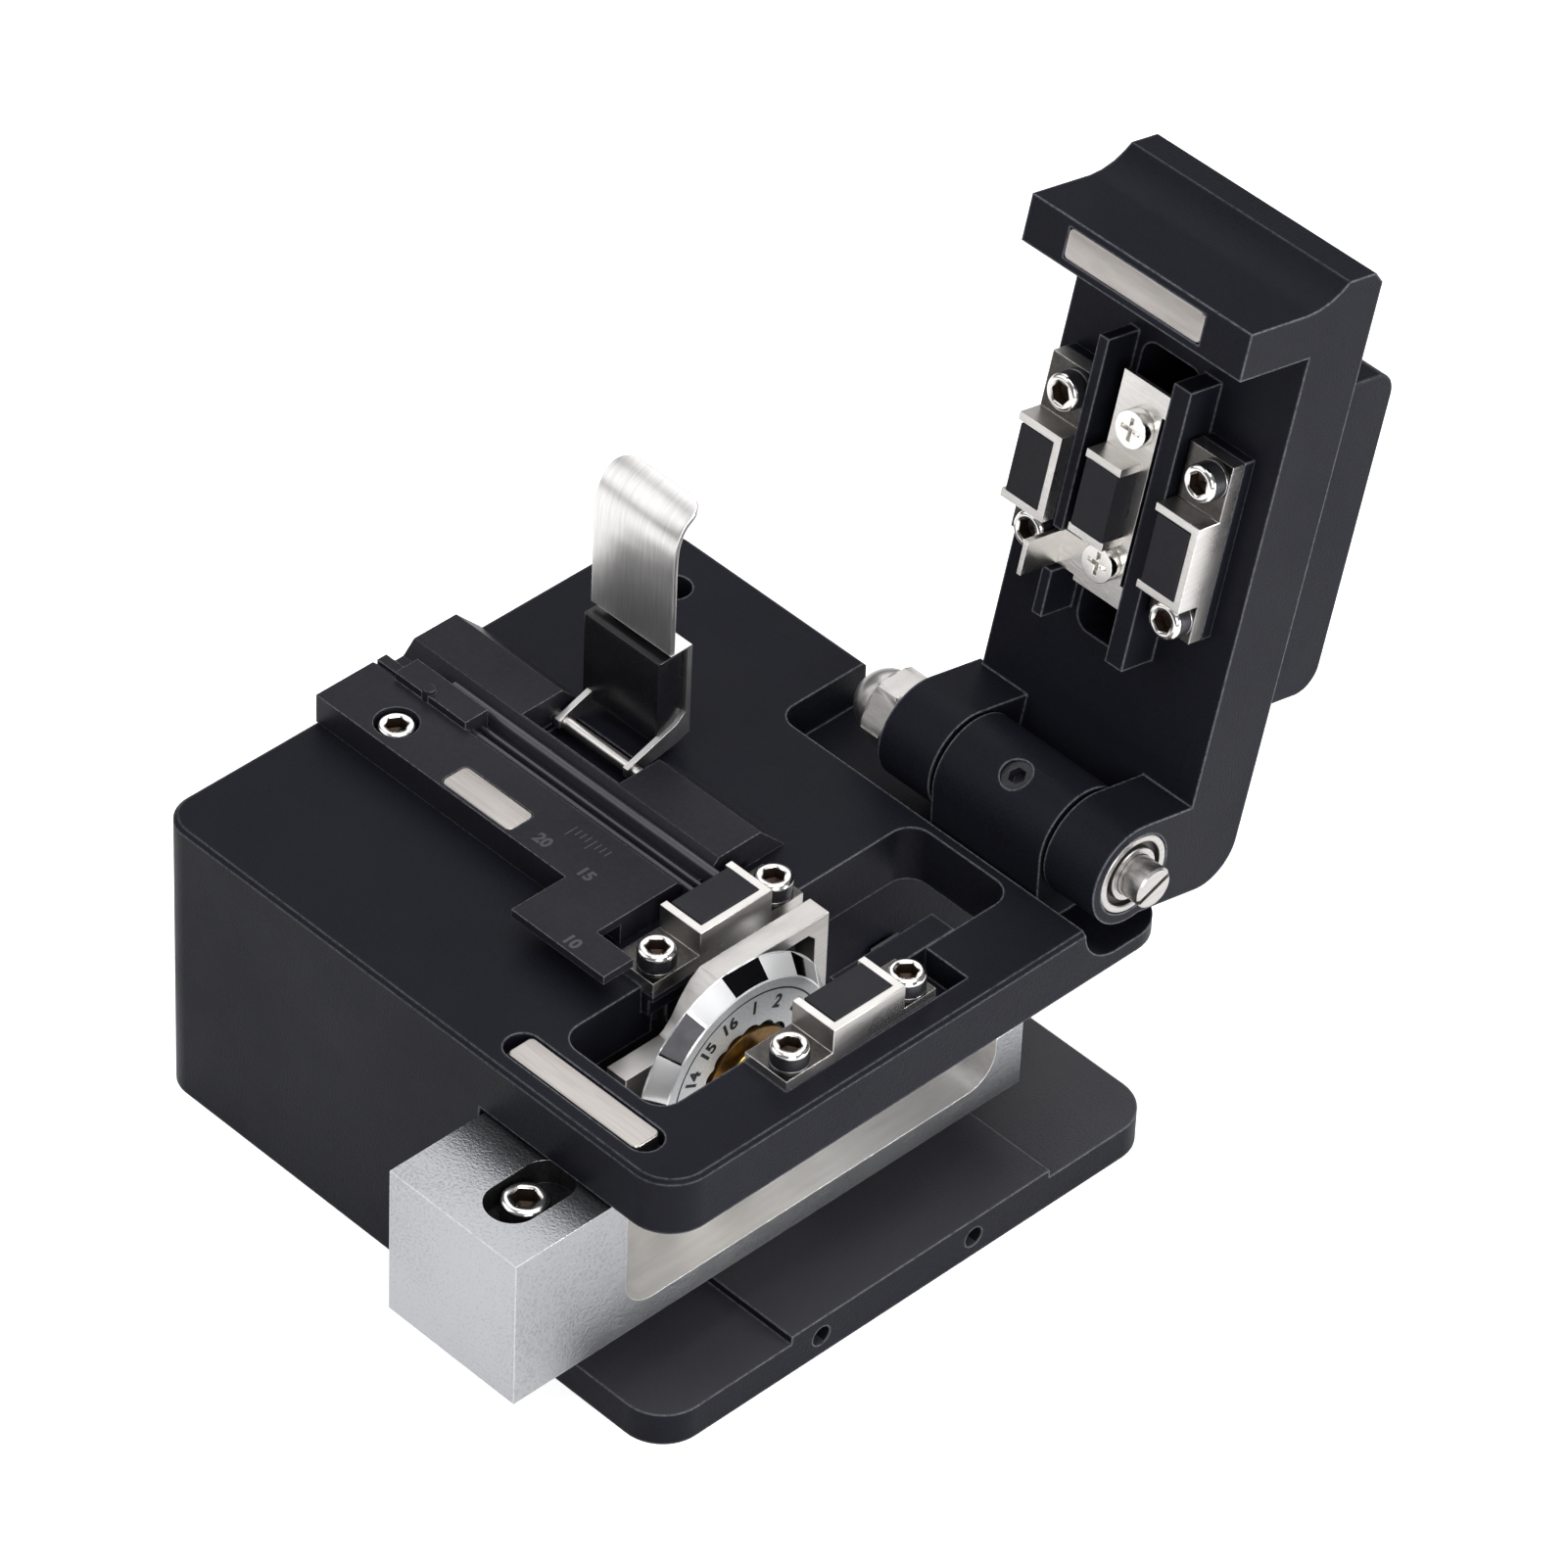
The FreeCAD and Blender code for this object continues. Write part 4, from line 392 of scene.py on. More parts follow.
def turnedPoints(profile, around=48, hexFrom=None, hexTo=None):
    # a radius and a height for each ring; rings from hexFrom to hexTo follow a hexagon instead of a circle
    profile = np.asarray(profile, float)
    angle = np.linspace(0, 2 * np.pi, around, endpoint=False)
    sixth = np.pi / 3
    hexagon = np.cos(sixth / 2) / np.cos((angle % sixth) - sixth / 2)
    shape = np.ones((len(profile), around))
    if hexFrom is not None:
        shape[hexFrom:hexTo] = hexagon
    radius = profile[:, 0:1] * shape
    height = np.repeat(profile[:, 1:2], around, 1)
    return np.stack([radius * np.cos(angle), radius * np.sin(angle), height], -1)


def axisFrame(axis):
    # columns carry a piece's own X, Y, Z, with Z along the axis
    along = np.asarray(axis, float) / np.linalg.norm(axis)
    helper = np.array([1.0, 0, 0]) if abs(along[0]) < 0.9 else np.array([0, 1.0, 0])
    across = np.cross(helper, along)
    across /= np.linalg.norm(across)
    return np.stack([across, np.cross(along, across), along], 1)


def joinPieces(name, parts):
    # one object from several lists of points and faces, each list's indices raised by the points before it
    points = []
    faces = []
    start = 0
    for partPoints, partFaces in parts:
        flat = np.asarray(partPoints).reshape(-1, 3)
        points.append(flat)
        faces.extend([[index + start for index in face] for face in partFaces])
        start += len(flat)
    return pieceFrom(name, np.concatenate(points), faces)


# degrees from which an edge stays hard
hardEdge = dict(screw=40, plate=35, dial=9, bearing=35, shaft=30, nut=28, ridge=40)
bevelStyle = dict(segments=3, limit=30, flat=0.5, weight=100)


def refine(node, finish, width):
    # a merged copy of the solid with its edges broken by a small bevel
    source = nodes[node]
    mesh = source.data.copy()
    work = bmesh.new()
    work.from_mesh(mesh)
    bmesh.ops.remove_doubles(work, verts=work.verts, dist=mergeReach)
    bmesh.ops.dissolve_limit(work, angle_limit=np.radians(bevelStyle["flat"]), verts=work.verts, edges=work.edges)
    for face in work.faces:
        face.smooth = True
    work.to_mesh(mesh)
    work.free()
    piece = bpy.data.objects.new(node + "_finished", mesh)
    bpy.context.scene.collection.objects.link(piece)
    edge = piece.modifiers.new("edges", "BEVEL")
    edge.width = width * mm
    edge.segments = bevelStyle["segments"]
    edge.limit_method = "ANGLE"
    edge.angle_limit = np.radians(bevelStyle["limit"])
    edge.use_clamp_overlap = True
    flat = piece.modifiers.new("flatFaces", "WEIGHTED_NORMAL")
    flat.weight = bevelStyle["weight"]
    flat.keep_sharp = False
    place(piece, finish, source["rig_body"], (node,))
    return piece


# pieces that keep the solid's form, each with its finish and the width of its broken edges

refined = {
    "body_frame": ("blackAnodised", 0.22), "lid_frame": ("blackAnodised", 0.22), "lid_cover": ("blackAnodised", 0.2),
    "slider": ("blastedSilver", 0.16), "guide_plate": ("blackPlastic", 0.14),
    "lower_base_left": ("blackAnodised", 0.1), "lower_base_right": ("blackAnodised", 0.1),
    "upper_base_left": ("blackAnodised", 0.1), "upper_base_right": ("blackAnodised", 0.1),
    "lower_retainer_left": ("nickelSheet", 0.1), "lower_retainer_right": ("nickelSheet", 0.1),
    "upper_retainer_left": ("nickelSheet", 0.1), "upper_retainer_right": ("nickelSheet", 0.1),
    "lower_pad_left": ("blackRubber", 0.12), "lower_pad_right": ("blackRubber", 0.12),
    "upper_pad_left": ("blackRubber", 0.12), "upper_pad_right": ("blackRubber", 0.12),
    "anvil_pad": ("blackRubber", 0.12), "anvil_carrier": ("nickelSheet", 0.1), "anvil_guide": ("blackPlastic", 0.1),
    "blade_bracket": ("bracketNickel", 0.12),
    "linear_rail": ("railSteel", 0.06), "rail_carriage": ("railSteel", 0.08),
    "blade_hub": ("turnedBrass", 0.08), "blade_axle": ("railSteel", 0.06),
    "hinge_washer": ("nickelSheet", 0.05), "guide_pin": ("blackPlastic", 0.08),
    "lever_pin": ("nickelSheet", 0.08), "hinge_set_screw": ("darkSteelAndReflection", 0.06), "bracket_screws": ("railSteel", 0.06),
    "lower_clamp_washers": ("railSteel", 0.04), "upper_clamp_washers": ("railSteel", 0.04),
    "anvil_screws": ("brightNickel", 0.08),
    "anvil_posts": ("railSteel", 0.06), "rail_screws": ("railSteel", 0.05), "carriage_screws": ("railSteel", 0.05),
}
for node, (finish, width) in refined.items():
    refine(node, finish, width)


def paintWhere(node, finish, chosen):
    # gives the faces that the test picks a finish of their own; it sees their corners in millimetres and their normal
    piece = bpy.data.objects[node + "_finished"]
    piece.data.materials.append(materials[finish])
    slot = len(piece.data.materials) - 1
    spots = np.array([vertex.co[:] for vertex in piece.data.vertices]) / mm
    for polygon in piece.data.polygons:
        if chosen(spots[list(polygon.vertices)], polygon.normal):
            polygon.material_index = slot


# bounds in millimetres of the faces that are painted unlike the rest of their piece: the slider's arm lighter as
# painted reflection, its screw pocket as painted shade, the hub's flange as painted shade, the base plate's top
# lighter as painted light
facing = 0.95  # least part of a face's normal that counts as turned that way
arm = dict(front=-28.2, outer=25.2, side=0.5)
pocket = dict(width=6.0, rear=-27.0, left=15.5, right=23.5, top=24.5)
plate = dict(top=6.0, level=0.9)
flangeInner = 3.1
# the arm's brushed lines are its own; its colour, far lighter than the block's, is a painted reflection
paintWhere("slider", "brushedSilverPaintedReflection", lambda spots, normal: spots[:, 1].min() > arm["front"]
           and not (normal.x > arm["side"] and spots[:, 0].min() > arm["outer"]))
paintWhere("slider", "pocketShade", lambda spots, normal: np.ptp(spots[:, 0]) < pocket["width"]
           and spots[:, 1].max() < pocket["rear"] and spots[:, 0].min() > pocket["left"]
           and spots[:, 0].max() < pocket["right"] and spots[:, 2].max() < pocket["top"])
# the hub's flange beyond the boss: painted shade in dark bronze; the boss stays bright brass
paintWhere("blade_hub", "bronzeShade", lambda spots, normal:
           np.hypot(spots[:, 1] - bladeAxis[0], spots[:, 2] - bladeAxis[1]).max() > flangeInner)
# the base plate's top under the deck: a lighter black, painted light
paintWhere("body_frame", "baseBlackPaintedLight", lambda spots, normal: normal.z > plate["level"]
           and spots[:, 2].max() < plate["top"])


def shadeFeet(node, axis):
    # the feet of a retainer lie in shade: faces turned along the axis, in the lower half of the retainer's height
    axis = Vector(axis)
    polygons = bpy.data.objects[node + "_finished"].data.polygons
    heights = [polygon.center @ axis / mm for polygon in polygons if polygon.normal @ axis > facing]
    middle = (min(heights) + max(heights)) / 2
    paintWhere(node, "shadedNickel", lambda spots, normal: normal @ axis > facing
               and (spots @ np.array(axis)).max() < middle)


for side in ("left", "right"):
    shadeFeet("lower_retainer_" + side, (0, 0, 1))
    shadeFeet("upper_retainer_" + side, -lidAxes[:, 2])
print("refined:", len(refined))


# socket screws

screws = {
    "lower_clamp_screws": dict(axis=(0, 0, 1), head=1.8, crown=0.42, socket=1.05, depth=1.2, shank=1.0, spin=0.3),
    "upper_clamp_screws": dict(axis=-lidAxes[:, 2], head=1.8, crown=0.42, socket=1.05, depth=1.2, shank=1.0,
                               spin=0.1),
    "guide_screw": dict(axis=(0, 0, 1), head=1.8, crown=0.36, socket=1.05, depth=1.2, shank=1.0, spin=0.5),
    "slider_screw": dict(axis=(0, 0, 1), head=2.3, crown=0.5, socket=1.25, depth=1.5, shank=1.25, spin=0.2),
}
screwEdges = dict(end=0.15, under=0.12, mouth=0.16, lip=0.03, lipDrop=0.09, wallDrop=0.22, point=0.4, cone=0.25)
spinStep = 0.37  # turns each screw of a row a little further


def socketScrew(points, sizes, spin, around=48):
    # head radius and length come from the solid's extent along and across its axis
    axes = axisFrame(sizes["axis"])
    inside = points @ axes
    low, high = inside.min(0), inside.max(0)
    middle, top = (low + high) / 2, high[2]
    radius, length = (high[0] - low[0]) / 2, high[2] - low[2]
    crown, socket = sizes["crown"], sizes["socket"]
    bend = np.linspace(0, np.pi / 2, 6)
    rim = np.stack([radius - crown + crown * np.cos(bend), -crown + crown * np.sin(bend)], 1)
    end, under = screwEdges["end"], screwEdges["under"]
    below = [(sizes["shank"] - end, -length), (sizes["shank"], end - length), (sizes["shank"], -sizes["head"]),
             (radius - under, -sizes["head"]), (radius, under - sizes["head"])]
    hole = [(socket + screwEdges["mouth"], 0.0), (socket + screwEdges["lip"], -screwEdges["lipDrop"]),
            (socket, -screwEdges["wallDrop"]), (socket, -sizes["depth"]),
            (socket * screwEdges["point"], -sizes["depth"] - screwEdges["cone"])]
    profile = np.concatenate([below, rim, hole])
    rings = len(profile)
    wall = rings - len(hole) + 2
    grid = turnedPoints(profile, around, wall - 1, rings)
    turn = np.array([[np.cos(spin), -np.sin(spin), 0], [np.sin(spin), np.cos(spin), 0], [0, 0, 1]])
    grid = grid.reshape(-1, 3) @ turn.T
    grid = (grid + [middle[0], middle[1], top]) @ axes.T * mm
    rows = np.arange(rings - 1)
    # painted shade in the socket (mark 1), a painted dark reflection on the head's side and the shank (mark 2); the
    # crown and top stay bright nickel
    marks = np.repeat(np.where(rows >= wall, 1, np.where(rows < len(below), 2, 0)), around).tolist() + [2, 1]
    return grid, gridFaces(rings, around), marks


for node, sizes in screws.items():
    parts = []
    marks = []
    for count, points in enumerate(islandsOf(node)):
        grid, faces, mark = socketScrew(points, sizes, sizes["spin"] + spinStep * count)
        parts.append((grid, faces))
        marks.extend(mark)
    piece = joinPieces(node + "_turned", parts)
    smoothByAngle(piece.data, hardEdge["screw"])
    place(piece, "brightNickel", nodes[node]["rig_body"], (node,), ("socketShade", "darkSteelAndReflection"))
    markFaces(piece, marks)
print("socket screws:", len(screws))


# magnets, as plates with rounded corners and a soft edge

def roundedPlate(low, high, axes, corner, edge, steps=6):
    # rings climb the side wall, then step inwards round the edge; each ring is a rectangle with rounded corners
    low, high = np.asarray(low, float), np.asarray(high, float)
    middle, half = (low + high) / 2, (high - low) / 2
    bend = np.linspace(0, np.pi / 2, 4)
    inset = np.concatenate([[0.0], edge - edge * np.cos(bend)])
    height = np.concatenate([[-half[2]], half[2] - edge + edge * np.sin(bend)])
    angle = np.concatenate([np.linspace(0, np.pi / 2, steps) + quarter * np.pi / 2 for quarter in range(4)])
    signs = np.repeat(np.array([[1, 1], [-1, 1], [-1, -1], [1, -1]]), steps, 0)
    rings = []
    for shrink, level in zip(inset, height):
        radius = corner - shrink
        flat = signs * (half[:2] - corner) + radius * np.stack([np.cos(angle), np.sin(angle)], 1)
        rings.append(np.column_stack([flat, np.full(len(flat), level)]))
    points = (np.array(rings).reshape(-1, 3) + middle) @ np.asarray(axes, float).T
    return points * mm, gridFaces(len(rings), 4 * steps)


magnets = {
    "deck_magnet": dict(axes=np.eye(3), corner=0.55, edge=0.16),
    "guide_magnet": dict(axes=np.eye(3), corner=0.6, edge=0.16),
    "lid_magnet": dict(axes=lidAxes * [1, -1, -1], corner=0.55, edge=0.16),  # faces inwards
}
for node, sizes in magnets.items():
    inside = islandsOf(node)[0] @ sizes["axes"]
    piece = joinPieces(node + "_plate", [roundedPlate(inside.min(0), inside.max(0), sizes["axes"],
                                                      sizes["corner"], sizes["edge"])])
    smoothByAngle(piece.data, hardEdge["plate"])
    place(piece, "magnetNickel", nodes[node]["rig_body"], (node,))


# the blade: sixteen facets behind a numbered face

dial = dict(sides=16, turn=8.65, around=192, back=18.3, edge=0.2, face=20.3, radius=11.1, rim=9.75, groove=8.6,
            inner=4.95, scallop=0.45, bite=0.7, floor=19.8, bore=2.52, backEdge=0.35, backRise=0.12, faceEdge=0.14,
            faceDrop=0.12, grooveMouth=0.09, grooveFloor=0.05, grooveDepth=0.09)
dialScale = dict(first=85.5, size=1.85, radius=7.3, lift=0.004)


def bladeRings():
    # radius of each ring by angle: circles, one polygon, and an inner edge that waves as a sine's size to a power
    angle = np.linspace(0, 2 * np.pi, dial["around"], endpoint=False)
    side = 2 * np.pi / dial["sides"]
    turn = np.radians(dial["turn"])
    polygon = np.cos(side / 2) / np.cos(((angle - turn) % side) - side / 2)
    wave = dial["inner"] + dial["scallop"] * np.abs(np.sin((angle - turn) * dial["sides"] / 2)) ** dial["bite"]
    face, back, groove, radius = dial["face"], dial["back"], dial["groove"], dial["radius"]
    mouth, bottom, low = dial["grooveMouth"], dial["grooveFloor"], face - dial["grooveDepth"]
    flat = np.ones_like(angle)
    rings = [
        (dial["bore"] * flat, back), ((radius - dial["backEdge"]) * flat, back),
        (radius * flat, back + dial["backRise"]), (radius * polygon, back + dial["edge"]),
        (dial["rim"] * flat, face - dial["faceDrop"]), ((dial["rim"] - dial["faceEdge"]) * flat, face),
        ((groove + mouth) * flat, face), ((groove + bottom) * flat, low), ((groove - bottom) * flat, low),
        ((groove - mouth) * flat, face), (wave, face), (wave, dial["floor"]), (dial["bore"] * flat, dial["floor"]),
    ]
    points = [np.column_stack([np.full(len(angle), depth), bladeAxis[0] + reach * np.cos(angle),
                               bladeAxis[1] + reach * np.sin(angle)]) for reach, depth in rings]
    return np.array(points), len(rings)


points, rings = bladeRings()
step = 360 / dial["around"]
facet = ((np.arange(dial["around"]) * step - dial["turn"]) % 360 // (360 / dial["sides"])).astype(int)
marks = np.zeros((rings, dial["around"]), int)
# painted reflections: the facets bright and dark in turn, and the face's broken edge a painted highlight
marks[3] = 1 + facet % 2  # facets, bright and dark in turn
marks[4] = 1  # the face's broken edge
marks[6:9] = 3  # the groove
marks[10:12] = 3  # the recess
piece = joinPieces("blade_faceted", [(points * mm, ringedFaces(rings, dial["around"]))])
smoothByAngle(piece.data, hardEdge["dial"])
place(piece, "dialSatin", "blade", ("blade",), ("paintedHighlightSteel", "paintedDarkFacet", "grooveShade"))
markFaces(piece, marks.reshape(-1))


numberStyle = dict(depth=0.015, bold=0.07)


def dialText(value, size):
    # a number as a mesh, centred on its own middle, in millimetres
    curve = bpy.data.curves.new("number", "FONT")
    curve.body = str(value)
    curve.size = size
    curve.extrude = numberStyle["depth"] / 2
    curve.align_x = "CENTER"
    curve.align_y = "CENTER"
    curve.offset = numberStyle["bold"]
    holder = bpy.data.objects.new("number", curve)
    bpy.context.scene.collection.objects.link(holder)
    bpy.context.view_layer.update()
    mesh = bpy.data.meshes.new_from_object(holder)
    points = np.empty(len(mesh.vertices) * 3)
    mesh.vertices.foreach_get("co", points)
    faces = [list(polygon.vertices) for polygon in mesh.polygons]
    bpy.data.objects.remove(holder)
    bpy.data.meshes.remove(mesh)
    points = points.reshape(-1, 3)
    return points - (points.max(0) + points.min(0)) / 2, faces


def dialNumbers():
    # each number stands upright along its own radius, a sixteenth of a turn from the next
    parts = []
    for value in range(1, dial["sides"] + 1):
        angle = np.radians(dialScale["first"] - 360 / dial["sides"] * (value - 1))
        outward = np.array([0, np.cos(angle), np.sin(angle)])
        right = np.array([0, np.sin(angle), -np.cos(angle)])
        axes = np.stack([right, outward, [1, 0, 0]], 1)
        points, faces = dialText(value, dialScale["size"])
        spot = np.array([dial["face"] + dialScale["lift"], *bladeAxis]) + dialScale["radius"] * outward
        parts.append(((points @ axes.T + spot) * mm, faces))
    return parts


piece = joinPieces("blade_numbers", dialNumbers())
place(piece, "scaleInk", "blade")
print("blade drawn")


# the clamp lever: its ears from the solid, its tab as one smooth sheet

tab = dict(low=42.4, sides=(-18.6, -8.4), thickness=0.6, corner=1.7, edge=0.14, rows=90, samples=24, tip=0.999,
           path=[(8.4, 42.4), (8.4, 46.0), (8.4, 49.5), (8.42, 52.0), (8.62, 54.2), (9.25, 55.7), (10.3, 56.62),
                 (11.85, 57.32)])


def smoothPath(points, samples, count):
    # a Catmull-Rom curve through the points, then spaced evenly along its length
    points = np.asarray(points, float)
    padded = np.concatenate([[2 * points[0] - points[1]], points, [2 * points[-1] - points[-2]]])
    t = np.linspace(0, 1, samples, endpoint=False)[:, None]
    spans = []
    for a, b, c, d in zip(padded, padded[1:], padded[2:], padded[3:]):
        spans.append(0.5 * (2 * b + (c - a) * t + (2 * a - 5 * b + 4 * c - d) * t ** 2
                            + (3 * b - a - 3 * c + d) * t ** 3))
    curve = np.concatenate(spans + [points[-1:]])
    travelled = np.concatenate([[0], np.cumsum(np.linalg.norm(np.diff(curve, axis=0), axis=1))])
    even = np.linspace(0, travelled[-1], count)
    return np.column_stack([np.interp(even, travelled, curve[:, axis]) for axis in range(2)]), even


def leverTab():
    # a rounded strip carried along the side view; its half width follows a quarter circle at the two corners
    path, along = smoothPath(tab["path"], tab["samples"], tab["rows"])
    slope = np.gradient(path, axis=0)
    slope /= np.linalg.norm(slope, axis=1)[:, None]
    normal = np.column_stack([slope[:, 1], -slope[:, 0]])
    left, right = tab["sides"]
    half, corner, edge, thick = (right - left) / 2, tab["corner"], tab["edge"], tab["thickness"] / 2
    past = np.clip(corner - (along[-1] - along), 0, corner * tab["tip"])
    width = half - corner + np.sqrt(corner ** 2 - past ** 2)
    bend = np.linspace(0, np.pi / 2, 4)
    angle = np.concatenate([bend + quarter * np.pi / 2 for quarter in range(4)])
    signs = np.repeat(np.array([[1, 1], [-1, 1], [-1, -1], [1, -1]]), 4, 0)
    rings = []
    for spot, side, reach in zip(path, normal, width):
        loop = signs * [reach - edge, thick - edge] + edge * np.stack([np.cos(angle), np.sin(angle)], 1)
        rings.append(np.column_stack([(left + right) / 2 + loop[:, 0], spot[0] + loop[:, 1] * side[0],
                                      spot[1] + loop[:, 1] * side[1]]))
    return np.array(rings) * mm, [face[::-1] for face in gridFaces(len(rings), len(signs))]


block = dict(low=(-18.4, 7.1, 32.5), high=(-8.75, 10.0, 41.75), corner=0.25, edge=0.16)
piece = joinPieces("lever_block", [roundedPlate(block["low"], block["high"], np.eye(3), block["corner"],
                                                block["edge"])])
smoothByAngle(piece.data, hardEdge["plate"])
place(piece, "leverRubber", "lever", ("lever_pad",))

ears = refine("clamp_lever", "leverSteel", 0.12)
work = bmesh.new()
work.from_mesh(ears.data)
bmesh.ops.bisect_plane(work, geom=work.verts[:] + work.edges[:] + work.faces[:], plane_co=(0, 0, tab["low"] * mm),
                       plane_no=(0, 0, 1), clear_outer=True)
bmesh.ops.holes_fill(work, edges=[edge for edge in work.edges if len(edge.link_faces) == 1])
work.to_mesh(ears.data)
work.free()
points, faces = leverTab()
piece = joinPieces("lever_tab", [(points, faces)])
smoothByAngle(piece.data, hardEdge["plate"])
place(piece, "leverSteel", "lever")
print("lever drawn")


# hinge bearings: an outer race, a dark shield set back, an inner race

bearings = {"hinge_bearing_right": dict(outer=32.4, inner=29.4), "hinge_bearing_left": dict(outer=5.9, inner=8.9)}
# radius in millimetres and share of the length for each ring
bearingRings = [(2.06, 0.0), (2.06, 1.0), (2.12, 1.0), (2.55, 1.0), (2.62, 0.96), (2.64, 0.80), (3.22, 0.80),
                (3.24, 0.97), (3.34, 1.0), (3.80, 1.0), (3.96, 0.95), (4.0, 0.88), (4.0, 0.0)]
bearingAround = 96
shieldRows = (4, 5, 6)
for node, sizes in bearings.items():
    reach = sizes["outer"] - sizes["inner"]
    angle = np.linspace(0, 2 * np.pi, bearingAround, endpoint=False)
    rings = [np.column_stack([np.full(bearingAround, sizes["inner"] + depth * reach),
                              hingeAxis[0] + radius * np.cos(angle), hingeAxis[1] + radius * np.sin(angle)])
             for radius, depth in bearingRings]
    faces = ringedFaces(len(rings), bearingAround)
    if reach > 0:
        faces = [face[::-1] for face in faces]
    piece = joinPieces(node + "_turned", [(np.array(rings) * mm, faces)])
    smoothByAngle(piece.data, hardEdge["bearing"])
    place(piece, "bracketNickel", nodes[node]["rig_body"], (node,), ("grooveShade",))
    markFaces(piece, np.repeat([1 if row in shieldRows else 0 for row in range(len(rings))], bearingAround))


# hinge shaft with a slot across its right end

shaft = dict(left=0.05, right=34.9, radius=2.0, slot=0.5, depth=1.0, chamfer=0.18, lean=0.35, around=64, half=28,
             tip=(0.1, 0.2), overlap=0.05)


def shaftParts():
    # a turned rod up to the slot's floor, then two halves of the end, each a D with its outer edge chamfered
    parts = []
    around, radius, floor = shaft["around"], shaft["radius"], shaft["right"] - shaft["depth"]
    turned = [(0.0, radius - shaft["tip"][1]), (shaft["tip"][0], radius), (floor - shaft["left"], radius)]
    angle = np.linspace(0, 2 * np.pi, around, endpoint=False)
    rings = [np.column_stack([np.full(around, shaft["left"] + depth), reach * np.cos(angle), reach * np.sin(angle)])
             for depth, reach in turned]
    parts.append((np.array(rings), gridFaces(len(rings), around)))
    start = np.arcsin(shaft["slot"] / 2 / radius)
    half = np.linspace(start, np.pi - start, shaft["half"])
    for sign in (1, -1):
        rings = []
        for x, shrink in ((floor - shaft["overlap"], 0.0), (shaft["right"] - shaft["chamfer"], 0.0),
                          (shaft["right"], shaft["chamfer"])):
            loop = (radius - shrink) * np.column_stack([np.cos(half), np.sin(half)])
            loop[:, 1] = np.maximum(loop[:, 1], shaft["slot"] / 2)
            rings.append(np.column_stack([np.full(len(loop), x), sign * loop[:, 0], sign * loop[:, 1]]))
        parts.append((np.array(rings), gridFaces(len(rings), len(half))))
    lean = shaft["lean"]
    turn = np.array([[1, 0, 0], [0, np.cos(lean), -np.sin(lean)], [0, np.sin(lean), np.cos(lean)]])
    return [((points.reshape(-1, 3) @ turn.T + [0, *hingeAxis]) * mm, faces) for points, faces in parts]


piece = joinPieces("hinge_shaft_turned", shaftParts())
smoothByAngle(piece.data, hardEdge["shaft"])
place(piece, "bracketNickel", nodes["hinge_shaft"]["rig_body"], ("hinge_shaft",))


# the acorn nut: a hexagon with both ends turned down to a cone, under a dome

# start and finish give depth and radius at the hexagon's two ends
nut = dict(flats=7.0, seat=5.25, height=3.0, dome=3.2, around=72, domeFrom=0.12, domeTo=0.97, domeRows=14,
           start=[(0.0, 3.4), (0.02, 3.5), (0.15, 3.75), (0.4, 4.2)],
           finish=[(-0.45, 4.2), (-0.2, 3.8), (0.0, 3.42), (0.04, 3.16)])


def acornNut():
    # each radius is the smaller of the hexagon and the turned outline at that depth
    corner = nut["flats"] / 2 / np.cos(np.pi / 6)
    angle = np.linspace(0, 2 * np.pi, nut["around"], endpoint=False)
    hexagon = corner * np.cos(np.pi / 6) / np.cos((angle % (np.pi / 3)) - np.pi / 6)
    bend = np.linspace(nut["domeFrom"], np.pi / 2 * nut["domeTo"], nut["domeRows"])
    turned = nut["start"] + [(nut["height"] + past, reach) for past, reach in nut["finish"]]
    turned += [(nut["height"] + nut["dome"] * np.sin(one), nut["dome"] * np.cos(one)) for one in bend]
    rings = [np.column_stack([np.full(len(angle), nut["seat"] - depth),
                              hingeAxis[0] + np.minimum(hexagon, reach) * np.cos(angle),
                              hingeAxis[1] + np.minimum(hexagon, reach) * np.sin(angle)])
             for depth, reach in turned]
    return np.array(rings) * mm, [face[::-1] for face in gridFaces(len(rings), nut["around"])]


piece = joinPieces("acorn_nut_turned", [acornNut()])
smoothByAngle(piece.data, hardEdge["nut"])
place(piece, "bracketNickel", "base", ("acorn_nut",))
print("nut drawn")


# ridges in the guide's long groove, and its faint marks

ridges = dict(left=-25.4, right=9.2, floor=32.62, sink=0.3, endStep=0.02,
              rows=[dict(y=-4.35, width=0.55, rise=1.0), dict(y=-3.2, width=0.4, rise=0.75),
                    dict(y=-1.75, width=0.95, rise=1.55)])


def ridgeBar(left, right, y, width, floor, rise, steps=10):
    # a half-round bar along X: straight sides below, half an ellipse on top
    bend = np.linspace(0, np.pi, steps)
    top = np.column_stack([y + width / 2 * np.cos(bend), floor + rise - width / 2 + width / 2 * np.sin(bend)])
    low, inset = floor - ridges["sink"], ridges["endStep"]
    loop = np.concatenate([[[y + width / 2, low]], top, [[y - width / 2, low]]])
    rings = [np.column_stack([np.full(len(loop), x), loop]) for x in (left, left + inset, right - inset, right)]
    return np.array(rings) * mm, gridFaces(len(rings), len(loop))


piece = joinPieces("guide_ridges", [ridgeBar(ridges["left"], ridges["right"], row["y"], row["width"],
                                             ridges["floor"], row["rise"]) for row in ridges["rows"]])
smoothByAngle(piece.data, hardEdge["ridge"])
place(piece, "glossPlastic", "base")

guideMarks = dict(level=34.004, size=1.7, numbers=[(20, -4.9, -10.0), (15, 0.9, -10.2), (10, 6.5, -17.0)],
                  ticks=8, tickFrom=-4.2, tickStep=0.62, tickRow=-6.6, tickLong=1.5, tickShort=0.9, tickWidth=0.12,
                  tickCorner=0.05, tickRise=0.004, tickSink=0.01)


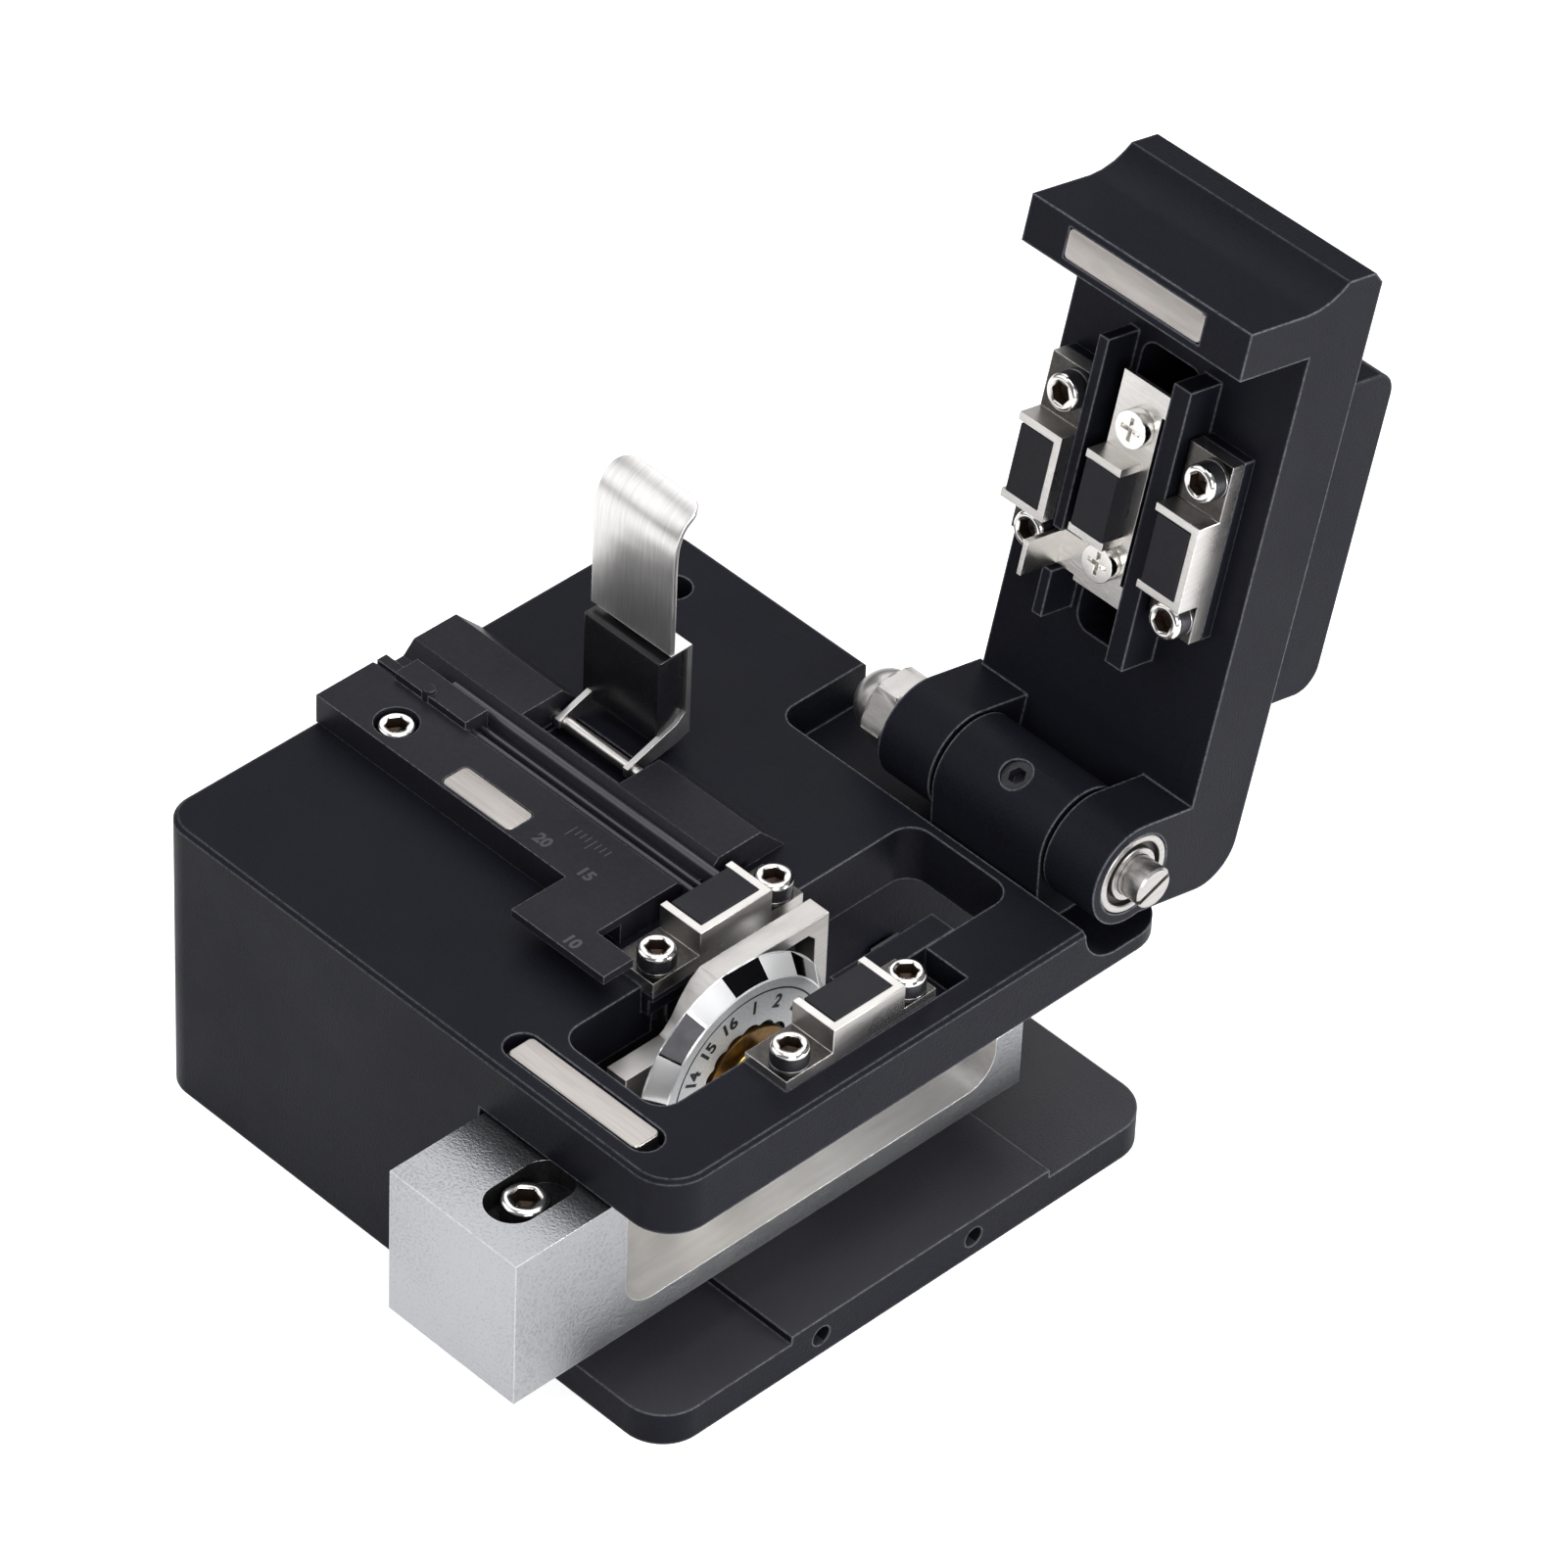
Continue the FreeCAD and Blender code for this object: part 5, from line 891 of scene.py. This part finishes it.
def guideScale():
    # numbers that read along X, and a row of short bars with every fourth one longer
    parts = []
    for value, x, y in guideMarks["numbers"]:
        points, faces = dialText(value, guideMarks["size"])
        parts.append(((points + [x, y, guideMarks["level"]]) * mm, faces))
    for count in range(guideMarks["ticks"]):
        x = guideMarks["tickFrom"] + count * guideMarks["tickStep"]
        reach = guideMarks["tickShort"] if count % 4 else guideMarks["tickLong"]
        half, row, level = guideMarks["tickWidth"] / 2, guideMarks["tickRow"], guideMarks["level"]
        rise, low = guideMarks["tickRise"], level - guideMarks["tickSink"]
        parts.append(roundedPlate((x - half, row - reach, low), (x + half, row, level + rise), np.eye(3),
                                  guideMarks["tickCorner"], rise, steps=3))
    return parts


piece = joinPieces("guide_marks", guideScale())
place(piece, "guideInk", "base")
print("guide ridges and marks drawn")


# floor, light and camera

stage = dict(reach=3.0, rise=-0.00002, paper=0.93, rough=0.9, glow=0.62, glossGlow=0.45)
reach = stage["reach"]
floor = pieceFrom("floor", [(x, y, stage["rise"]) for x, y in ((-reach, -reach), (reach, -reach), (reach, reach),
                                                               (-reach, reach))], [[0, 1, 2, 3]])
paper = bpy.data.materials.new("floorPaper")
paper.use_nodes = True
paperShader = paper.node_tree.nodes["Principled BSDF"]
paperShader.inputs["Base Color"].default_value = (stage["paper"], stage["paper"], stage["paper"], 1)
paperShader.inputs["Roughness"].default_value = stage["rough"]
paperLink = paper.node_tree.links.new
# the floor glows a little where the camera sees it, and less where a glossy surface does
paperPath = addNode(paper.node_tree, "ShaderNodeLightPath", (-600, -300))
paperLift = addNode(paper.node_tree, "ShaderNodeMath", (-300, -300), operation="MULTIPLY")
paperLift.inputs[1].default_value = stage["glow"]
paperSeen = addNode(paper.node_tree, "ShaderNodeMath", (-450, -300), operation="MULTIPLY_ADD")
paperSeen.inputs[1].default_value = stage["glossGlow"]
paperLink(paperPath.outputs["Is Glossy Ray"], paperSeen.inputs[0])
paperLink(paperPath.outputs["Is Camera Ray"], paperSeen.inputs[2])
paperLink(paperSeen.outputs["Value"], paperLift.inputs[0])
paperShader.inputs["Emission Color"].default_value = (1, 1, 1, 1)
paperLink(paperLift.outputs["Value"], paperShader.inputs["Emission Strength"])
floor.data.materials.append(paper)

room = dict(low=(0.10, 0.10, 0.105, 1), high=(0.26, 0.265, 0.28, 1), highAt=0.8)
world = bpy.data.worlds.new("softRoom")
bpy.context.scene.world = world
world.use_nodes = True
sky = world.node_tree
skyGlow = sky.nodes["Background"]
# the room brightens upwards; the camera sees it as plain white
skyPath = addNode(sky, "ShaderNodeLightPath", (-600, 300))
skyPlace = addNode(sky, "ShaderNodeTexCoord", (-1200, 0))
skySplit = addNode(sky, "ShaderNodeSeparateXYZ", (-1000, 0))
skyRamp = addNode(sky, "ShaderNodeValToRGB", (-800, 0))
skyRamp.color_ramp.elements[0].position = 0.0
skyRamp.color_ramp.elements[0].color = room["low"]
skyRamp.color_ramp.elements[1].position = room["highAt"]
skyRamp.color_ramp.elements[1].color = room["high"]
skyMix = addNode(sky, "ShaderNodeMix", (-400, 0), data_type="RGBA")
skyMix.inputs[mixSecond].default_value = (1, 1, 1, 1)
sky.links.new(skyPlace.outputs["Generated"], skySplit.inputs["Vector"])
sky.links.new(skySplit.outputs["Z"], skyRamp.inputs["Fac"])
sky.links.new(skyRamp.outputs["Color"], skyMix.inputs[mixFirst])
sky.links.new(skyPath.outputs["Is Camera Ray"], skyMix.inputs["Factor"])
sky.links.new(skyMix.outputs[mixOut], skyGlow.inputs["Color"])
skyGlow.inputs["Strength"].default_value = 1.0

# places and sizes in metres, power in watts
lamps = {
    "topSoftbox": dict(place=(0.12, 0.02, 0.80), aim=(0.0, 0.0, 0.02), size=0.55, power=3.4),
    "backSoftbox": dict(place=(-0.50, 0.50, 0.80), aim=(0.0, 0.0, 0.03), size=0.85, power=3.0),
    "leftSoftbox": dict(place=(-0.60, -0.55, 0.58), aim=(0.0, 0.0, 0.03), size=0.90, power=3.2),
    "rightSoftbox": dict(place=(0.60, -0.35, 0.34), aim=(0.0, 0.0, 0.01), size=0.40, power=2.6),
    "lowSoftbox": dict(place=(0.50, 0.20, 0.10), aim=(0.02, 0.0, 0.012), size=0.16, power=1.7),
}
for name, lamp in lamps.items():
    light = bpy.data.lights.new(name, "AREA")
    light.shape = "SQUARE"
    light.size = lamp["size"]
    light.energy = lamp["power"]
    holder = bpy.data.objects.new(name, light)
    bpy.context.scene.collection.objects.link(holder)
    away = Vector(lamp["place"]) - Vector(lamp["aim"])
    holder.matrix_world = Matrix.Translation(lamp["place"]) @ away.to_track_quat("Z", "Y").to_matrix().to_4x4()

# place in metres and directions, found from the body's straight edges in the photograph
photoCamera = {
    "place": (0.4352457, -0.4281573, 0.5689593), "right": (0.69181875, 0.7212949, 0.03347359),
    "up": (-0.49115782, 0.43609282, 0.75404711), "lens": 215.126, "sensor": 36.0, "near": 0.05, "far": 20.0,
}
lensData = bpy.data.cameras.new("photoCamera")
lensData.lens = photoCamera["lens"]
lensData.sensor_width = photoCamera["sensor"]
lensData.clip_start = photoCamera["near"]
lensData.clip_end = photoCamera["far"]
camera = bpy.data.objects.new("photoCamera", lensData)
bpy.context.scene.collection.objects.link(camera)
turn = np.eye(4)
turn[:3, 0] = photoCamera["right"]
turn[:3, 1] = photoCamera["up"]
turn[:3, 2] = np.cross(photoCamera["right"], photoCamera["up"])
turn[:3, 3] = photoCamera["place"]
camera.matrix_world = Matrix(turn.tolist())
bpy.context.scene.camera = camera
bpy.context.scene.view_settings.view_transform = "Standard"
print("stage, lamps and camera set")
